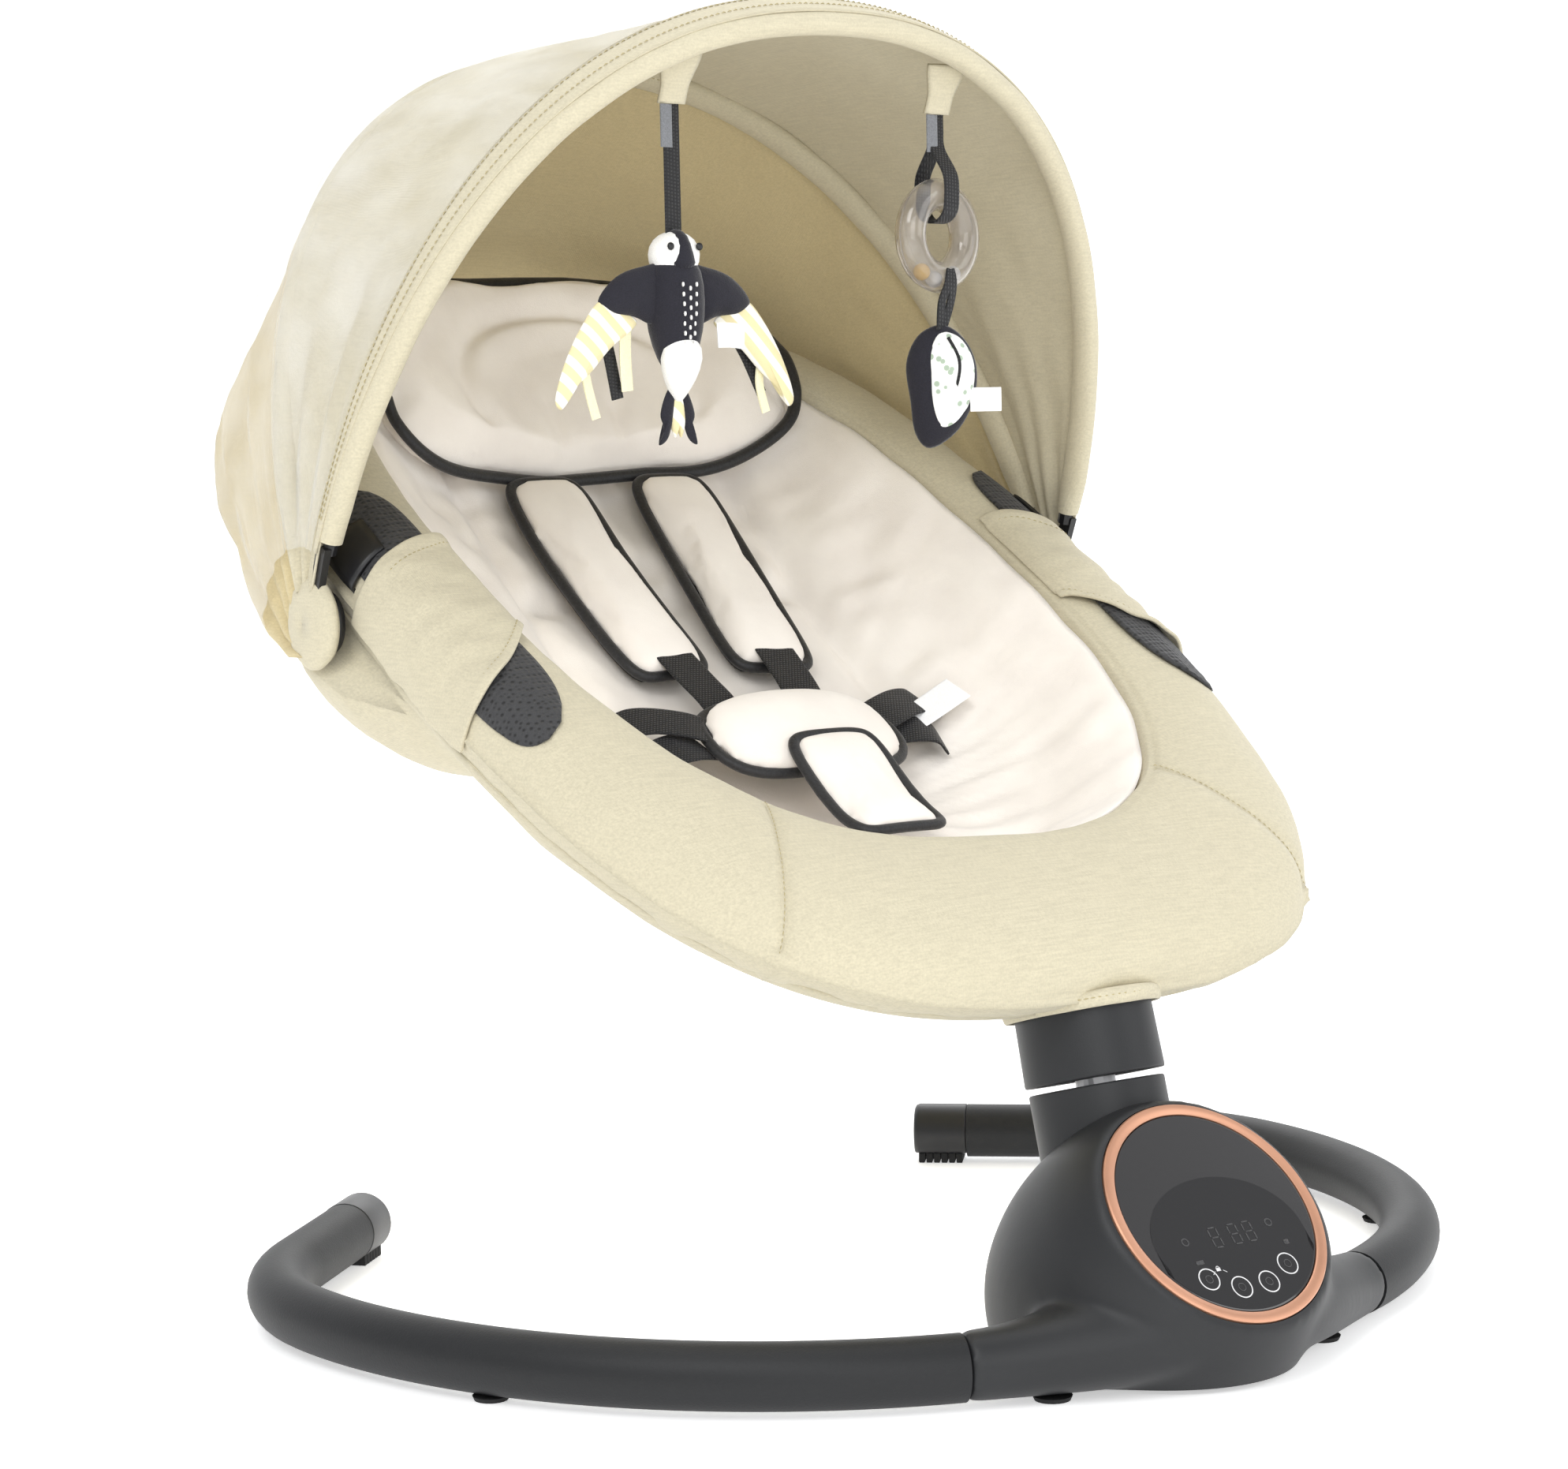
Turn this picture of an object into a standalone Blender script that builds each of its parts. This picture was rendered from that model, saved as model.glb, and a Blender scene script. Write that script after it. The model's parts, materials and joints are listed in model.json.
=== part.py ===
"""Electric baby swing: C-shaped tube base, motor housing with a round touch panel, a tilted
swing tower, and an oval reclined seat with a folding canopy and two hanging toys.

Metres, +Z up. The foot end and the control panel face -Y, the head end faces +Y, and the
swing is symmetric about the plane X = 0 apart from its toys. It stands on the plane Z = 0.
"""
import math

import bmesh
import bpy
import numpy as np
from mathutils import Matrix, Vector

# ---------------------------------------------------------------- driving dimensions
FRAME_Y = -0.0670              # shifts the whole swing so that its box is centred on Y = 0
GAP = 0.0003                   # clearance between pieces that touch

TUBE_R = 0.016                 # leg tube
TUBE_WALL = 0.0015
TUBE_Z = 0.0185                # leg tube centre line above the floor
LEG_START = (0.125, -0.234)    # where a leg leaves the motor housing
LEG_HEADING = 21.0             # degrees from +X at the housing
LEG_ARC = (0.298, 68.5)        # long side sweep: radius, degrees
LEG_BEND = (0.136, 48.0)       # tighter rear bend: radius, degrees
LEG_STEPS = (11, 7)            # steps in the sweep and in the bend
LEG_END = 0.078                # straight run behind the bend, up to the cap
FOOT_STEP = 7                  # the step that a foot stands under
FOOT_HEIGHT = 0.0022
CAP_LENGTH = 0.032
CAP_PAD = 0.006                # height of the rubber pad under a cap
CAP_PAD_HALF = 0.010

PANEL_CENTRE = (0.0, -0.269, 0.079)
PANEL_TILT = 42.0              # degrees that the panel's normal is raised above -Y
PANEL_R = 0.060                # copper ring, outer
GLASS_R = 0.0527
# housing of revolution about the panel's axis: depth behind the panel, radius
EGG_PROFILE = ((0.0, 0.0630), (0.012, 0.0690), (0.030, 0.0745), (0.055, 0.0775), (0.080, 0.0760),
               (0.105, 0.0690), (0.125, 0.0560), (0.140, 0.0370), (0.147, 0.0140))
EGG_WALL = 0.003
ARM_GROWTH = (0.030, 0.012)    # extra half depth and half height of the stub arms at the middle
APRON_FORWARD = 0.026          # how far they bulge in front of the line between the legs
FLOOR_GAP = 0.0025             # height of the housing's underside
HOUSING_FOOT = (0.085, -0.250)
PANEL_OPENING_R = 0.0545
JACK = (-0.150, 0.020)         # y and z of the power socket

TOWER_ORIGIN = (0.0, -0.183, 0.127)    # top of the fixed sleeve, on the swing axis
TOWER_LEAN = 15.2              # degrees that the swing axis leans towards +Y
SLEEVE_R = 0.0335              # fixed sleeve
UPPER_TUBE_R = (0.0345, 0.0338)
TOWER_WALL = 0.003
SWING_GAP = 0.0035             # open gap between the fixed sleeve and the moving tube
SHAFT_R = 0.010
SHAFT_RUN = (-0.088, 0.046)    # its ends along the swing axis
TUBE_TOP = 0.050               # top of the moving tube along the swing axis
COLLAR_R = 0.0405              # room that the collar takes in the cover

SEAT_ORIGIN = (0.0, -0.087, 0.262)     # on the rim plane, s = 0
SEAT_TILT = 30.0               # recline of the rim plane
RIM_OUTER = (0.234, 0.345, 0.203, 2.8)     # half width, half length, centre s, exponent
RIM_INNER = (0.177, 0.272, 0.235, 2.6)
FRAME_TUBE_R = 0.009
FRAME_PLACE = (0.60, -0.020)   # across the rim (0 inner, 1 outer), height over the rim plane
LINER_DEPTH = 0.078
LINER_SLOPE = 0.10             # how fast the bowl gets shallower towards the head
LINER_POWER = 3.2              # how flat its floor is
LINER_THICK = 0.012
LINER_INSET = 0.014            # its top edge inside the rim's inner edge
SHELL_THICK = 0.004
SHELL_EDGE = (0.77, -0.036)    # where the under shell meets the rim: across it, height
SHELL_SKIN = 0.04              # its wall at that edge, as a share of the rim's width

PIVOT_S, PIVOT_N = 0.249, -0.038       # canopy pivot axis in the seat's frame
BOW_R = 0.004
BOW_ARCH = (0.2460, 0.332)     # half width, height above the pivot axis
HUB_R = 0.013
HUB_THICK = 0.004
HUB_X = (0.2415, 0.2461)       # inner faces of the rear bow's hubs and of the front bow's
CLIP_R = 0.0165
CLIP_X = (0.2362, 0.2411)
PIN_BORE_R = 0.0033
ARCH_POWER = 0.90
FRONT_BOW_ANGLE = 113.0        # degrees from +Y, turning about +X
REAR_BOW_ANGLE = 67.0
BACK_EDGE_ANGLE = 29.0
FABRIC_THICK = 0.003
FABRIC_LIFT = 0.0052           # its inside over the bows' middle line
SHEET_FOOT = 0.035             # where the fabric starts along the arch, just over the bows' hubs

LOOP_X = 0.086                 # toy loops on the front bow
LOOP_DROP = 0.034              # how far a loop hangs under the bow
LOOP_GAP = 0.0010              # room for a toy's strap to swing under its loop
TOY_STRAP = (0.0060, 0.0012)   # half width, half thickness
BIRD_STRAP = 0.066             # length of the bird's strap
RATTLE_STRAP = 0.034
RATTLE_R = (0.0305, 0.0085)    # ring: outer radius, radius of its hollow tube
RATTLE_TURN = 11.0             # degrees that the ring is turned about Z
LEAF_STRAP = 0.026
LEAF_TURN = -30.0

# pads and straps, as (x, s, n) or (x, s) in the seat's frame
SHOULDER_RUN = ((0.043, 0.375), (0.042, 0.32), (0.038, 0.26), (0.034, 0.215))
SHOULDER_LIFT = 0.0095
SHOULDER_STRAP = ((0.033, 0.213, -0.054), (0.030, 0.19, -0.056), (0.028, 0.175, -0.057))
WAIST_STRAP = ((0.062, 0.150, -0.056), (0.085, 0.155, -0.058), (0.108, 0.160, -0.052))
BELLY_RUN = ((0, 0.170, -0.053), (0, 0.150, -0.050), (0, 0.125, -0.050), (0, 0.108, -0.052))
CROTCH_RUN = ((0, 0.107, -0.055), (0, 0.08, -0.055), (0, 0.055, -0.054), (0, 0.038, -0.048))
STRAP = (0.025, 0.0016)        # webbing: width, thickness
BUCKLE = ((-0.020, 0.125, -0.066), (0.020, 0.160, -0.0590))
PILLOW = (0.135, 0.385, 0.512, 0.022)      # half width, low s, high s, thickness
MESH_RUN = (0.088, 0.300)      # ends of the side mesh along s
SLEEVE_RUN = (0.138, 0.238)    # ends of the side sleeve along s


# ---------------------------------------------------------------- small helpers
def clear_scene():
    for obj in list(bpy.data.objects):
        bpy.data.objects.remove(obj)


def material(name, colour, roughness, metallic=0.0):
    mat = bpy.data.materials.new(name)
    mat.use_nodes = True
    shader = mat.node_tree.nodes["Principled BSDF"]
    shader.inputs["Base Color"].default_value = (*colour, 1.0)
    shader.inputs["Roughness"].default_value = roughness
    shader.inputs["Metallic"].default_value = metallic
    return mat


CHARCOAL = ((0.030, 0.031, 0.034), 0.45)
RUBBER = ((0.015, 0.015, 0.016), 0.85)
STEEL = ((0.55, 0.55, 0.56), 0.30, 1.0)
COPPER = ((0.60, 0.28, 0.16), 0.30, 0.9)
GLASS = ((0.012, 0.012, 0.014), 0.05)
BOARD = ((0.02, 0.16, 0.07), 0.6)
BRASS = ((0.70, 0.52, 0.25), 0.35, 1.0)
LINEN = ((0.62, 0.57, 0.39), 0.95)
VELOUR = ((0.83, 0.73, 0.62), 0.95)
WEBBING = ((0.012, 0.012, 0.013), 0.85)
CLEAR = ((0.90, 0.88, 0.84), 0.08)
PLUSH_DARK = ((0.012, 0.012, 0.020), 0.95)
PLUSH_LIGHT = ((0.85, 0.83, 0.78), 0.95)
BEAD = ((0.85, 0.60, 0.12), 0.3)


def add_object(name, verts, faces, look, smooth=35.0):
    mesh = bpy.data.meshes.new(name)
    mesh.from_pydata([tuple(v) for v in verts], [], faces)
    bm = bmesh.new()
    bm.from_mesh(mesh)
    bmesh.ops.recalc_face_normals(bm, faces=bm.faces)
    bm.to_mesh(mesh)
    bm.free()
    mesh.shade_smooth()
    mesh.set_sharp_from_angle(angle=math.radians(smooth))
    obj = bpy.data.objects.new(name, mesh)
    obj.data.materials.append(material(name, *look))
    bpy.context.scene.collection.objects.link(obj)
    return obj


def loft(name, rings, look, loop=False, smooth=35.0):
    """Skin a list of rings of equal count. The ends are capped, or joined with loop=True."""
    count = len(rings[0])
    verts = [p for ring in rings for p in ring]
    faces = []
    last = len(rings) if loop else len(rings) - 1
    for i in range(last):
        a, b = i * count, ((i + 1) % len(rings)) * count
        for j in range(count):
            k = (j + 1) % count
            faces.append((a + j, a + k, b + k, b + j))
    if not loop:
        faces.append(tuple(range(count)))
        faces.append(tuple(range((len(rings) - 1) * count, len(rings) * count)))
    return add_object(name, verts, faces, look, smooth)


def ring_points(centre, u, v, ru, rv, count, start=0.0):
    """Points of an ellipse about centre, in the plane of the unit vectors u and v."""
    out = []
    for k in range(count):
        a = start + 2 * math.pi * k / count
        out.append(centre + u * (ru * math.cos(a)) + v * (rv * math.sin(a)))
    return out


def turned(name, profile, origin, axis, look, count=32, loop=False, side=None):
    """A body of revolution: profile of (height, radius) along axis from origin."""
    axis = Vector(axis).normalized()
    side = Vector(side) if side else Vector((1, 0, 0))
    other = axis.cross(side).normalized()
    origin = Vector(origin)
    rings = [ring_points(origin + axis * h, side, other, r, r, count) for h, r in profile]
    return loft(name, rings, look, loop)


def tube_ring(name, origin, axis, low, high, outer, inner, look, count=32):
    """A plain hollow cylinder along axis, between two heights."""
    profile = ((low, outer), (high, outer), (high, inner), (low, inner))
    return turned(name, profile, origin, axis, look, count, loop=True)


def box(name, corner_low, corner_high, look, place=None):
    """A box; place maps its own coordinates to world ones."""
    (x0, y0, z0), (x1, y1, z1) = corner_low, corner_high
    verts = [Vector(p) for p in ((x0, y0, z0), (x1, y0, z0), (x1, y1, z0), (x0, y1, z0),
                                 (x0, y0, z1), (x1, y0, z1), (x1, y1, z1), (x0, y1, z1))]
    if place:
        verts = [place(*v) for v in verts]
    faces = [(0, 3, 2, 1), (4, 5, 6, 7), (0, 1, 5, 4), (1, 2, 6, 5), (2, 3, 7, 6), (3, 0, 4, 7)]
    return add_object(name, verts, faces, look)


def boolean(obj, cutter, operation="DIFFERENCE"):
    mod = obj.modifiers.new(cutter.name, "BOOLEAN")
    mod.operation = operation
    mod.solver = "EXACT"
    mod.object = cutter
    cutter.hide_render = True
    cutter.display_type = "WIRE"


def set_origin(obj, point):
    """Move an object's origin to a joint axis without moving its shape."""
    point = Vector(point)
    obj.data.transform(Matrix.Translation(-point))
    obj.location = point


def smoothstep(t):
    t = min(max(t, 0.0), 1.0)
    return t * t * (3 - 2 * t)


# ---------------------------------------------------------------- reference frames
ROOT = Vector((0.0, FRAME_Y, 0.0))
LEAN = math.radians(TOWER_LEAN)
SWING_AXIS = Vector((0, math.sin(LEAN), math.cos(LEAN)))
SWING_FRONT = Vector((0, -math.cos(LEAN), math.sin(LEAN)))
SWING_BASE = Vector(TOWER_ORIGIN) + ROOT
TILT = math.radians(SEAT_TILT)
SEAT_ALONG = Vector((0, math.cos(TILT), math.sin(TILT)))
SEAT_NORMAL = Vector((0, -math.sin(TILT), math.cos(TILT)))
SEAT_BASE = Vector(SEAT_ORIGIN) + ROOT
FACE = math.radians(PANEL_TILT)
PANEL_NORMAL = Vector((0, -math.cos(FACE), math.sin(FACE)))
PANEL_BASE = Vector(PANEL_CENTRE) + ROOT


def tower(x, q, h):
    """x to the side, q towards the front, h up the swing axis from the sleeve's top."""
    return SWING_BASE + Vector((1, 0, 0)) * x + SWING_FRONT * q + SWING_AXIS * h


def seat(x, s, n):
    """x to the side, s along the rim plane towards the head, n over the rim plane."""
    return SEAT_BASE + Vector((1, 0, 0)) * x + SEAT_ALONG * s + SEAT_NORMAL * n


PIVOT = seat(0, PIVOT_S, PIVOT_N)


def fan(x, radius, angle):
    """A point of the canopy: radius from the pivot axis, angle in degrees from +Y."""
    a = math.radians(angle)
    return PIVOT + Vector((x, radius * math.cos(a), radius * math.sin(a)))


def oval(shape, t):
    """Point (x, s) of a superellipse at the angle t; t = 0 is the right side."""
    half_width, half_length, centre, power = shape
    c, s = math.cos(t), math.sin(t)
    x = half_width * math.copysign(abs(c) ** (2 / power), c)
    y = half_length * math.copysign(abs(s) ** (2 / power), s)
    return x, centre + y


def across_rim(t, r):
    """Point (x, s) across the rim at the angle t: r = 0 inner edge, 1 outer edge."""
    xi, si = oval(RIM_INNER, t)
    xo, so = oval(RIM_OUTER, t)
    return xi + (xo - xi) * r, si + (so - si) * r


# ---------------------------------------------------------------- base
def leg_path(side):
    """Centre line of a leg in plan, with its headings, from the housing to the cap."""
    x, y = LEG_START
    heading = math.radians(LEG_HEADING)
    out = [(x, y, heading)]
    for (radius, degrees), count in zip((LEG_ARC, LEG_BEND), LEG_STEPS):
        for _ in range(count):
            turn = math.radians(degrees) / count
            x += radius * (math.sin(heading + turn) - math.sin(heading))
            y += radius * (math.cos(heading) - math.cos(heading + turn))
            heading += turn
            out.append((x, y, heading))
    x += LEG_END * math.cos(heading)
    y += LEG_END * math.sin(heading)
    out.append((x, y, heading))
    return [(side * px, py, h if side > 0 else math.pi - h) for px, py, h in out]


def plan_ring(x, y, heading, radius, count=14, z=TUBE_Z):
    across = Vector((-math.sin(heading), math.cos(heading), 0))
    return ring_points(ROOT + Vector((x, y, z)), across, Vector((0, 0, 1)), radius, radius, count)


def build_leg(side, label):
    path = leg_path(side)
    outer = [plan_ring(*p, TUBE_R) for p in path]
    inner = [plan_ring(*p, TUBE_R - TUBE_WALL) for p in path]
    loft("leg_tube_" + label, outer + inner[::-1], CHARCOAL, loop=True)

    x, y, heading = path[-1]
    along = Vector((math.cos(heading), math.sin(heading), 0))
    across = Vector((-math.sin(heading), math.cos(heading), 0))
    base = ROOT + Vector((x, y, 0))

    def place(u, v, w):
        return base + along * u + across * v + Vector((0, 0, w))

    cap_r = TUBE_R + GAP
    cap = turned("leg_cap_" + label,
                 ((GAP, cap_r), (CAP_LENGTH - 0.002, cap_r), (CAP_LENGTH, cap_r - 0.0018)),
                 base + Vector((0, 0, TUBE_Z)), along, CHARCOAL, 24, side=across)
    flat = box("cap_flat_" + label, (-0.01, -0.03, -0.02), (CAP_LENGTH + 0.02, 0.03, CAP_PAD), RUBBER, place)
    boolean(cap, flat)
    box("cap_pad_" + label, (0.002, -CAP_PAD_HALF, 0.0), (CAP_LENGTH - 0.002, CAP_PAD_HALF, CAP_PAD - GAP),
        RUBBER, place)

    x, y, heading = path[FOOT_STEP]
    turned("leg_foot_" + label, ((0.0, 0.0080), (FOOT_HEIGHT, 0.0090)), ROOT + Vector((x, y, 0)), (0, 0, 1),
           RUBBER, 20)


def egg_rings(shrink, count, front=0.0):
    """Rings of the housing's egg; shrink takes the wall off for its inside."""
    rings = []
    side = Vector((1, 0, 0))
    other = PANEL_NORMAL.cross(side).normalized()
    for depth, radius in EGG_PROFILE:
        r = max(radius - shrink, 0.004)
        d = depth if depth > 0 else front
        if shrink and depth > 0.13:
            d -= shrink
        rings.append(ring_points(PANEL_BASE - PANEL_NORMAL * d, side, other, r, r, count))
    return rings


def skirt_rings():
    """Stub arms and front apron: round where a leg plugs in, wide and low at the middle."""
    rings = []
    stations = 15
    x_joint, y_joint = LEG_START
    for i in range(stations):
        p = -1 + 2 * i / (stations - 1)
        m = 1 - smoothstep(abs(p))
        half_y = TUBE_R + 0.0005 + ARM_GROWTH[0] * m
        half_z = TUBE_R + 0.0005 + ARM_GROWTH[1] * m
        centre_y = y_joint - APRON_FORWARD * (1 - p * p)
        heading = math.radians(LEG_HEADING) * p
        across = Vector((-math.sin(heading), math.cos(heading), 0))
        centre = ROOT + Vector((x_joint * p, centre_y, FLOOR_GAP + half_z))
        rings.append(ring_points(centre, across, Vector((0, 0, 1)), half_y, half_z, 20))
    return rings


def build_housing():
    shell = loft("housing_shell", egg_rings(0.0, 36), CHARCOAL)
    skirt = loft("housing_skirt", skirt_rings(), CHARCOAL)
    hollow = loft("housing_hollow", egg_rings(EGG_WALL, 28, 0.0045), CHARCOAL)
    opening = turned("panel_opening", ((-0.012, PANEL_OPENING_R), (0.006, PANEL_OPENING_R)),
                     PANEL_BASE, PANEL_NORMAL, CHARCOAL, 40)
    recess = turned("panel_recess", ((-0.0042, PANEL_R + GAP), (0.006, PANEL_R + GAP)),
                    PANEL_BASE, PANEL_NORMAL, CHARCOAL, 40)
    socket = turned("tower_socket", ((-0.085, SLEEVE_R + GAP), (0.03, SLEEVE_R + GAP)),
                    SWING_BASE, SWING_AXIS, CHARCOAL, 32)
    floor_cut = box("floor_cut", (-0.3, -0.5, -0.2), (0.3, 0.3, FLOOR_GAP), CHARCOAL,
                    lambda *p: ROOT + Vector(p))
    jack_cut = turned("jack_cut", ((0.0, 0.0052), (0.05, 0.0052)), ROOT + Vector((0, *JACK)), (0, 1, 0),
                      CHARCOAL, 16)
    boolean(shell, skirt, "UNION")
    for cutter in (hollow, opening, recess, socket, floor_cut, jack_cut):
        boolean(shell, cutter)

    plate = box("bottom_cover", (-0.2, -0.5, FLOOR_GAP + 0.0006), (0.2, 0.3, FLOOR_GAP + EGG_WALL), CHARCOAL,
                lambda *p: ROOT + Vector(p))
    plug = loft("cover_outline", egg_rings(EGG_WALL + 0.0006, 28, 0.0045), CHARCOAL)
    boolean(plate, plug, "INTERSECT")

    for label, side in (("left", -1), ("right", 1)):
        turned("housing_foot_" + label, ((0.0, 0.0085), (FOOT_HEIGHT, 0.0095)),
               ROOT + Vector((side * HOUSING_FOOT[0], HOUSING_FOOT[1], 0)), (0, 0, 1), RUBBER, 20)


def build_panel():
    tube_ring("panel_ring", PANEL_BASE, PANEL_NORMAL, -0.0039, 0.0008, PANEL_R, GLASS_R + GAP, COPPER, 48)
    turned("panel_glass", ((-0.0030, GLASS_R), (-0.0004, GLASS_R), (0.0, GLASS_R - 0.0006)),
           PANEL_BASE, PANEL_NORMAL, GLASS, 48)
    turned("display_board", ((-0.0080, 0.0500), (-0.0064, 0.0500)), PANEL_BASE, PANEL_NORMAL, BOARD, 32)
    speaker_at = PANEL_BASE - PANEL_NORMAL * 0.012 + Vector((-0.030, 0, 0))
    turned("speaker", ((-0.012, 0.009), (-0.004, 0.014), (0.0, 0.0145)), speaker_at, PANEL_NORMAL, RUBBER, 24)


def gear_rings(teeth, module, low, high, place, phase=0.0, backlash=0.12):
    """Spur gear outline with straight-flanked teeth, as two rings of points."""
    pitch = teeth * module / 2
    tip, root = pitch + 0.80 * module, pitch - 1.15 * module
    outline = []
    for k in range(teeth):
        a = phase + 2 * math.pi * k / teeth
        flank = 0.12 - backlash / 4
        for radius, share in ((root, -0.36), (tip, -flank), (tip, flank), (root, 0.36)):
            angle = a + share * 2 * math.pi / teeth * (1 - backlash * 0.6)
            outline.append((radius * math.cos(angle), radius * math.sin(angle)))
    return [[place(x, q, h) for x, q in outline] for h in (low, high)]


GEAR_MODULE = 0.0015
GEAR_TEETH = 36
PINION_TEETH = 12
GEAR_H = (-0.0640, -0.0560)


def build_drive():
    shaft = turned("swing_shaft", [(h, SHAFT_R) for h in SHAFT_RUN], SWING_BASE, SWING_AXIS, STEEL, 24)
    set_origin(shaft, SWING_BASE)
    gear = loft("drive_gear", gear_rings(GEAR_TEETH, GEAR_MODULE, *GEAR_H, tower), BRASS, smooth=20.0)
    bore = turned("gear_bore", ((-0.1, SHAFT_R + GAP), (0.0, SHAFT_R + GAP)), SWING_BASE, SWING_AXIS, BRASS, 24)
    boolean(gear, bore)

    distance = (GEAR_TEETH + PINION_TEETH) * GEAR_MODULE / 2
    phase = math.pi + math.pi / PINION_TEETH

    def beside(x, q, h):
        return tower(distance + x, q, h)

    teeth = gear_rings(PINION_TEETH, GEAR_MODULE, *GEAR_H, beside, phase)
    pinion = loft("motor_pinion", teeth, BRASS, smooth=20.0)
    set_origin(pinion, beside(0, 0, 0))
    motor_top = GEAR_H[0] - 0.001
    turned("swing_motor", ((motor_top, 0.0050), (motor_top - 0.002, 0.0050), (motor_top - 0.002, 0.0135),
                           (-0.098, 0.0135), (-0.100, 0.0115)), beside(0, 0, 0), SWING_AXIS, STEEL, 20)
    for name, low, high in (("lower_bearing", -0.052, -0.042), ("upper_bearing", -0.012, -0.002)):
        tube_ring(name, SWING_BASE, SWING_AXIS, low, high, SLEEVE_R - TOWER_WALL - GAP, SHAFT_R + GAP,
                  STEEL, 24)
    tube_ring("tower_sleeve", SWING_BASE, SWING_AXIS, -0.054, 0.0, SLEEVE_R, SLEEVE_R - TOWER_WALL,
              CHARCOAL, 36)
    turned("power_jack", ((-0.0155, 0.0048), (0.0025, 0.0048)), ROOT + Vector((0, *JACK)), (0, 1, 0),
           RUBBER, 16)


# ---------------------------------------------------------------- seat structure
def build_upper_tower():
    low, high = SWING_GAP, TUBE_TOP
    profile = ((low, UPPER_TUBE_R[0]), (high, UPPER_TUBE_R[1]), (high, UPPER_TUBE_R[1] - TOWER_WALL),
               (low + 0.004, UPPER_TUBE_R[0] - TOWER_WALL), (low + 0.004, SHAFT_R + GAP), (low, SHAFT_R + GAP))
    tube = turned("upper_tube", profile, SWING_BASE, SWING_AXIS, CHARCOAL, 40, loop=True)
    set_origin(tube, SWING_BASE)
    hub_low = SHAFT_RUN[1] + GAP
    hub_step = TUBE_TOP + GAP
    hub = turned("seat_hub", ((hub_low, 0.0160), (hub_step, 0.0160), (hub_step, 0.024), (0.0755, 0.022)),
                 SWING_BASE, SWING_AXIS, STEEL, 28)
    channel = sweep_loop("hub_channel", FRAME_TUBE_R + GAP, STEEL, 44, 8)
    boolean(hub, channel)


def loop_points(t, radius, count):
    """Section ring of the seat frame tube at the angle t."""
    step = 0.01
    a = seat(*across_rim(t - step, FRAME_PLACE[0]), FRAME_PLACE[1])
    b = seat(*across_rim(t + step, FRAME_PLACE[0]), FRAME_PLACE[1])
    centre = seat(*across_rim(t, FRAME_PLACE[0]), FRAME_PLACE[1])
    along = (b - a).normalized()
    return ring_points(centre, SEAT_NORMAL, along.cross(SEAT_NORMAL), radius, radius, count)


def even_angles(shape_r, count):
    """Angles t that space points evenly along the rim at the place shape_r across it."""
    fine = 2000
    pts = np.array([across_rim(2 * math.pi * k / fine, shape_r) for k in range(fine + 1)])
    run = np.concatenate([[0], np.cumsum(np.hypot(*np.diff(pts, axis=0).T))])
    want = np.linspace(0, run[-1], count, endpoint=False)
    return list(np.interp(want, run, np.linspace(0, 2 * math.pi, fine + 1)))


def sweep_loop(name, radius, look, stations, count):
    rings = [loop_points(t, radius, count) for t in even_angles(FRAME_PLACE[0], stations)]
    return loft(name, rings, look, loop=True)


# the rim's section: place across it (0 inner, 1 outer), height; top skin, then its inside
RIM_SECTION = ((0.00, -0.014), (0.00, 0.001), (0.10, 0.006), (0.30, 0.010), (0.60, 0.009), (0.82, 0.002),
               (0.95, -0.008), (1.00, -0.018), (0.97, -0.031), (0.84, -0.040),
               (0.84, -0.035), (0.91, -0.028), (0.92, -0.016), (0.77, -0.003), (0.58, 0.003),
               (0.12, 0.000), (0.08, -0.014))


def rim_height(r):
    """Height of the rim's top skin at the place r across it."""
    top = RIM_SECTION[1:10]
    return float(np.interp(r, [p[0] for p in top[:7]], [p[1] for p in top[:7]]))


def build_rim():
    angles = even_angles(0.8, 44)
    rings = [[seat(*across_rim(t, r), n) for r, n in RIM_SECTION] for t in angles]
    rim = loft("cover_rim", rings, LINEN, loop=True)
    boolean(rim, tower_clearance("rim_clearance"))
    sweep_loop("seat_frame", FRAME_TUBE_R, STEEL, 44, 8)
    turned("tower_collar", ((0.036, 0.0358), (0.036, 0.0378), (0.046, 0.0400), (0.046, 0.0358)),
           SWING_BASE, SWING_AXIS, LINEN, 32, loop=True)


def bowl_rings(depth_offset, outline_offset, count=36):
    """Rings of the seat's bowl, from the lowest small one up to the rim."""
    rings = []
    half_width, half_length, centre, power = RIM_INNER
    shape = (half_width + outline_offset, half_length + outline_offset, centre, power)
    for f in (0.12, 0.38, 0.60, 0.78, 0.91, 1.0):
        ring = []
        for k in range(count):
            x, s = oval(shape, 2 * math.pi * k / count)
            x, s = x * f, centre + (s - centre) * f - 0.05 * (1 - f)
            depth = (1 - f ** LINER_POWER) * (LINER_DEPTH - LINER_SLOPE * (s - 0.14))
            ring.append(seat(x, s, -0.004 - depth + depth_offset))
        rings.append(ring)
    return rings


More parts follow.
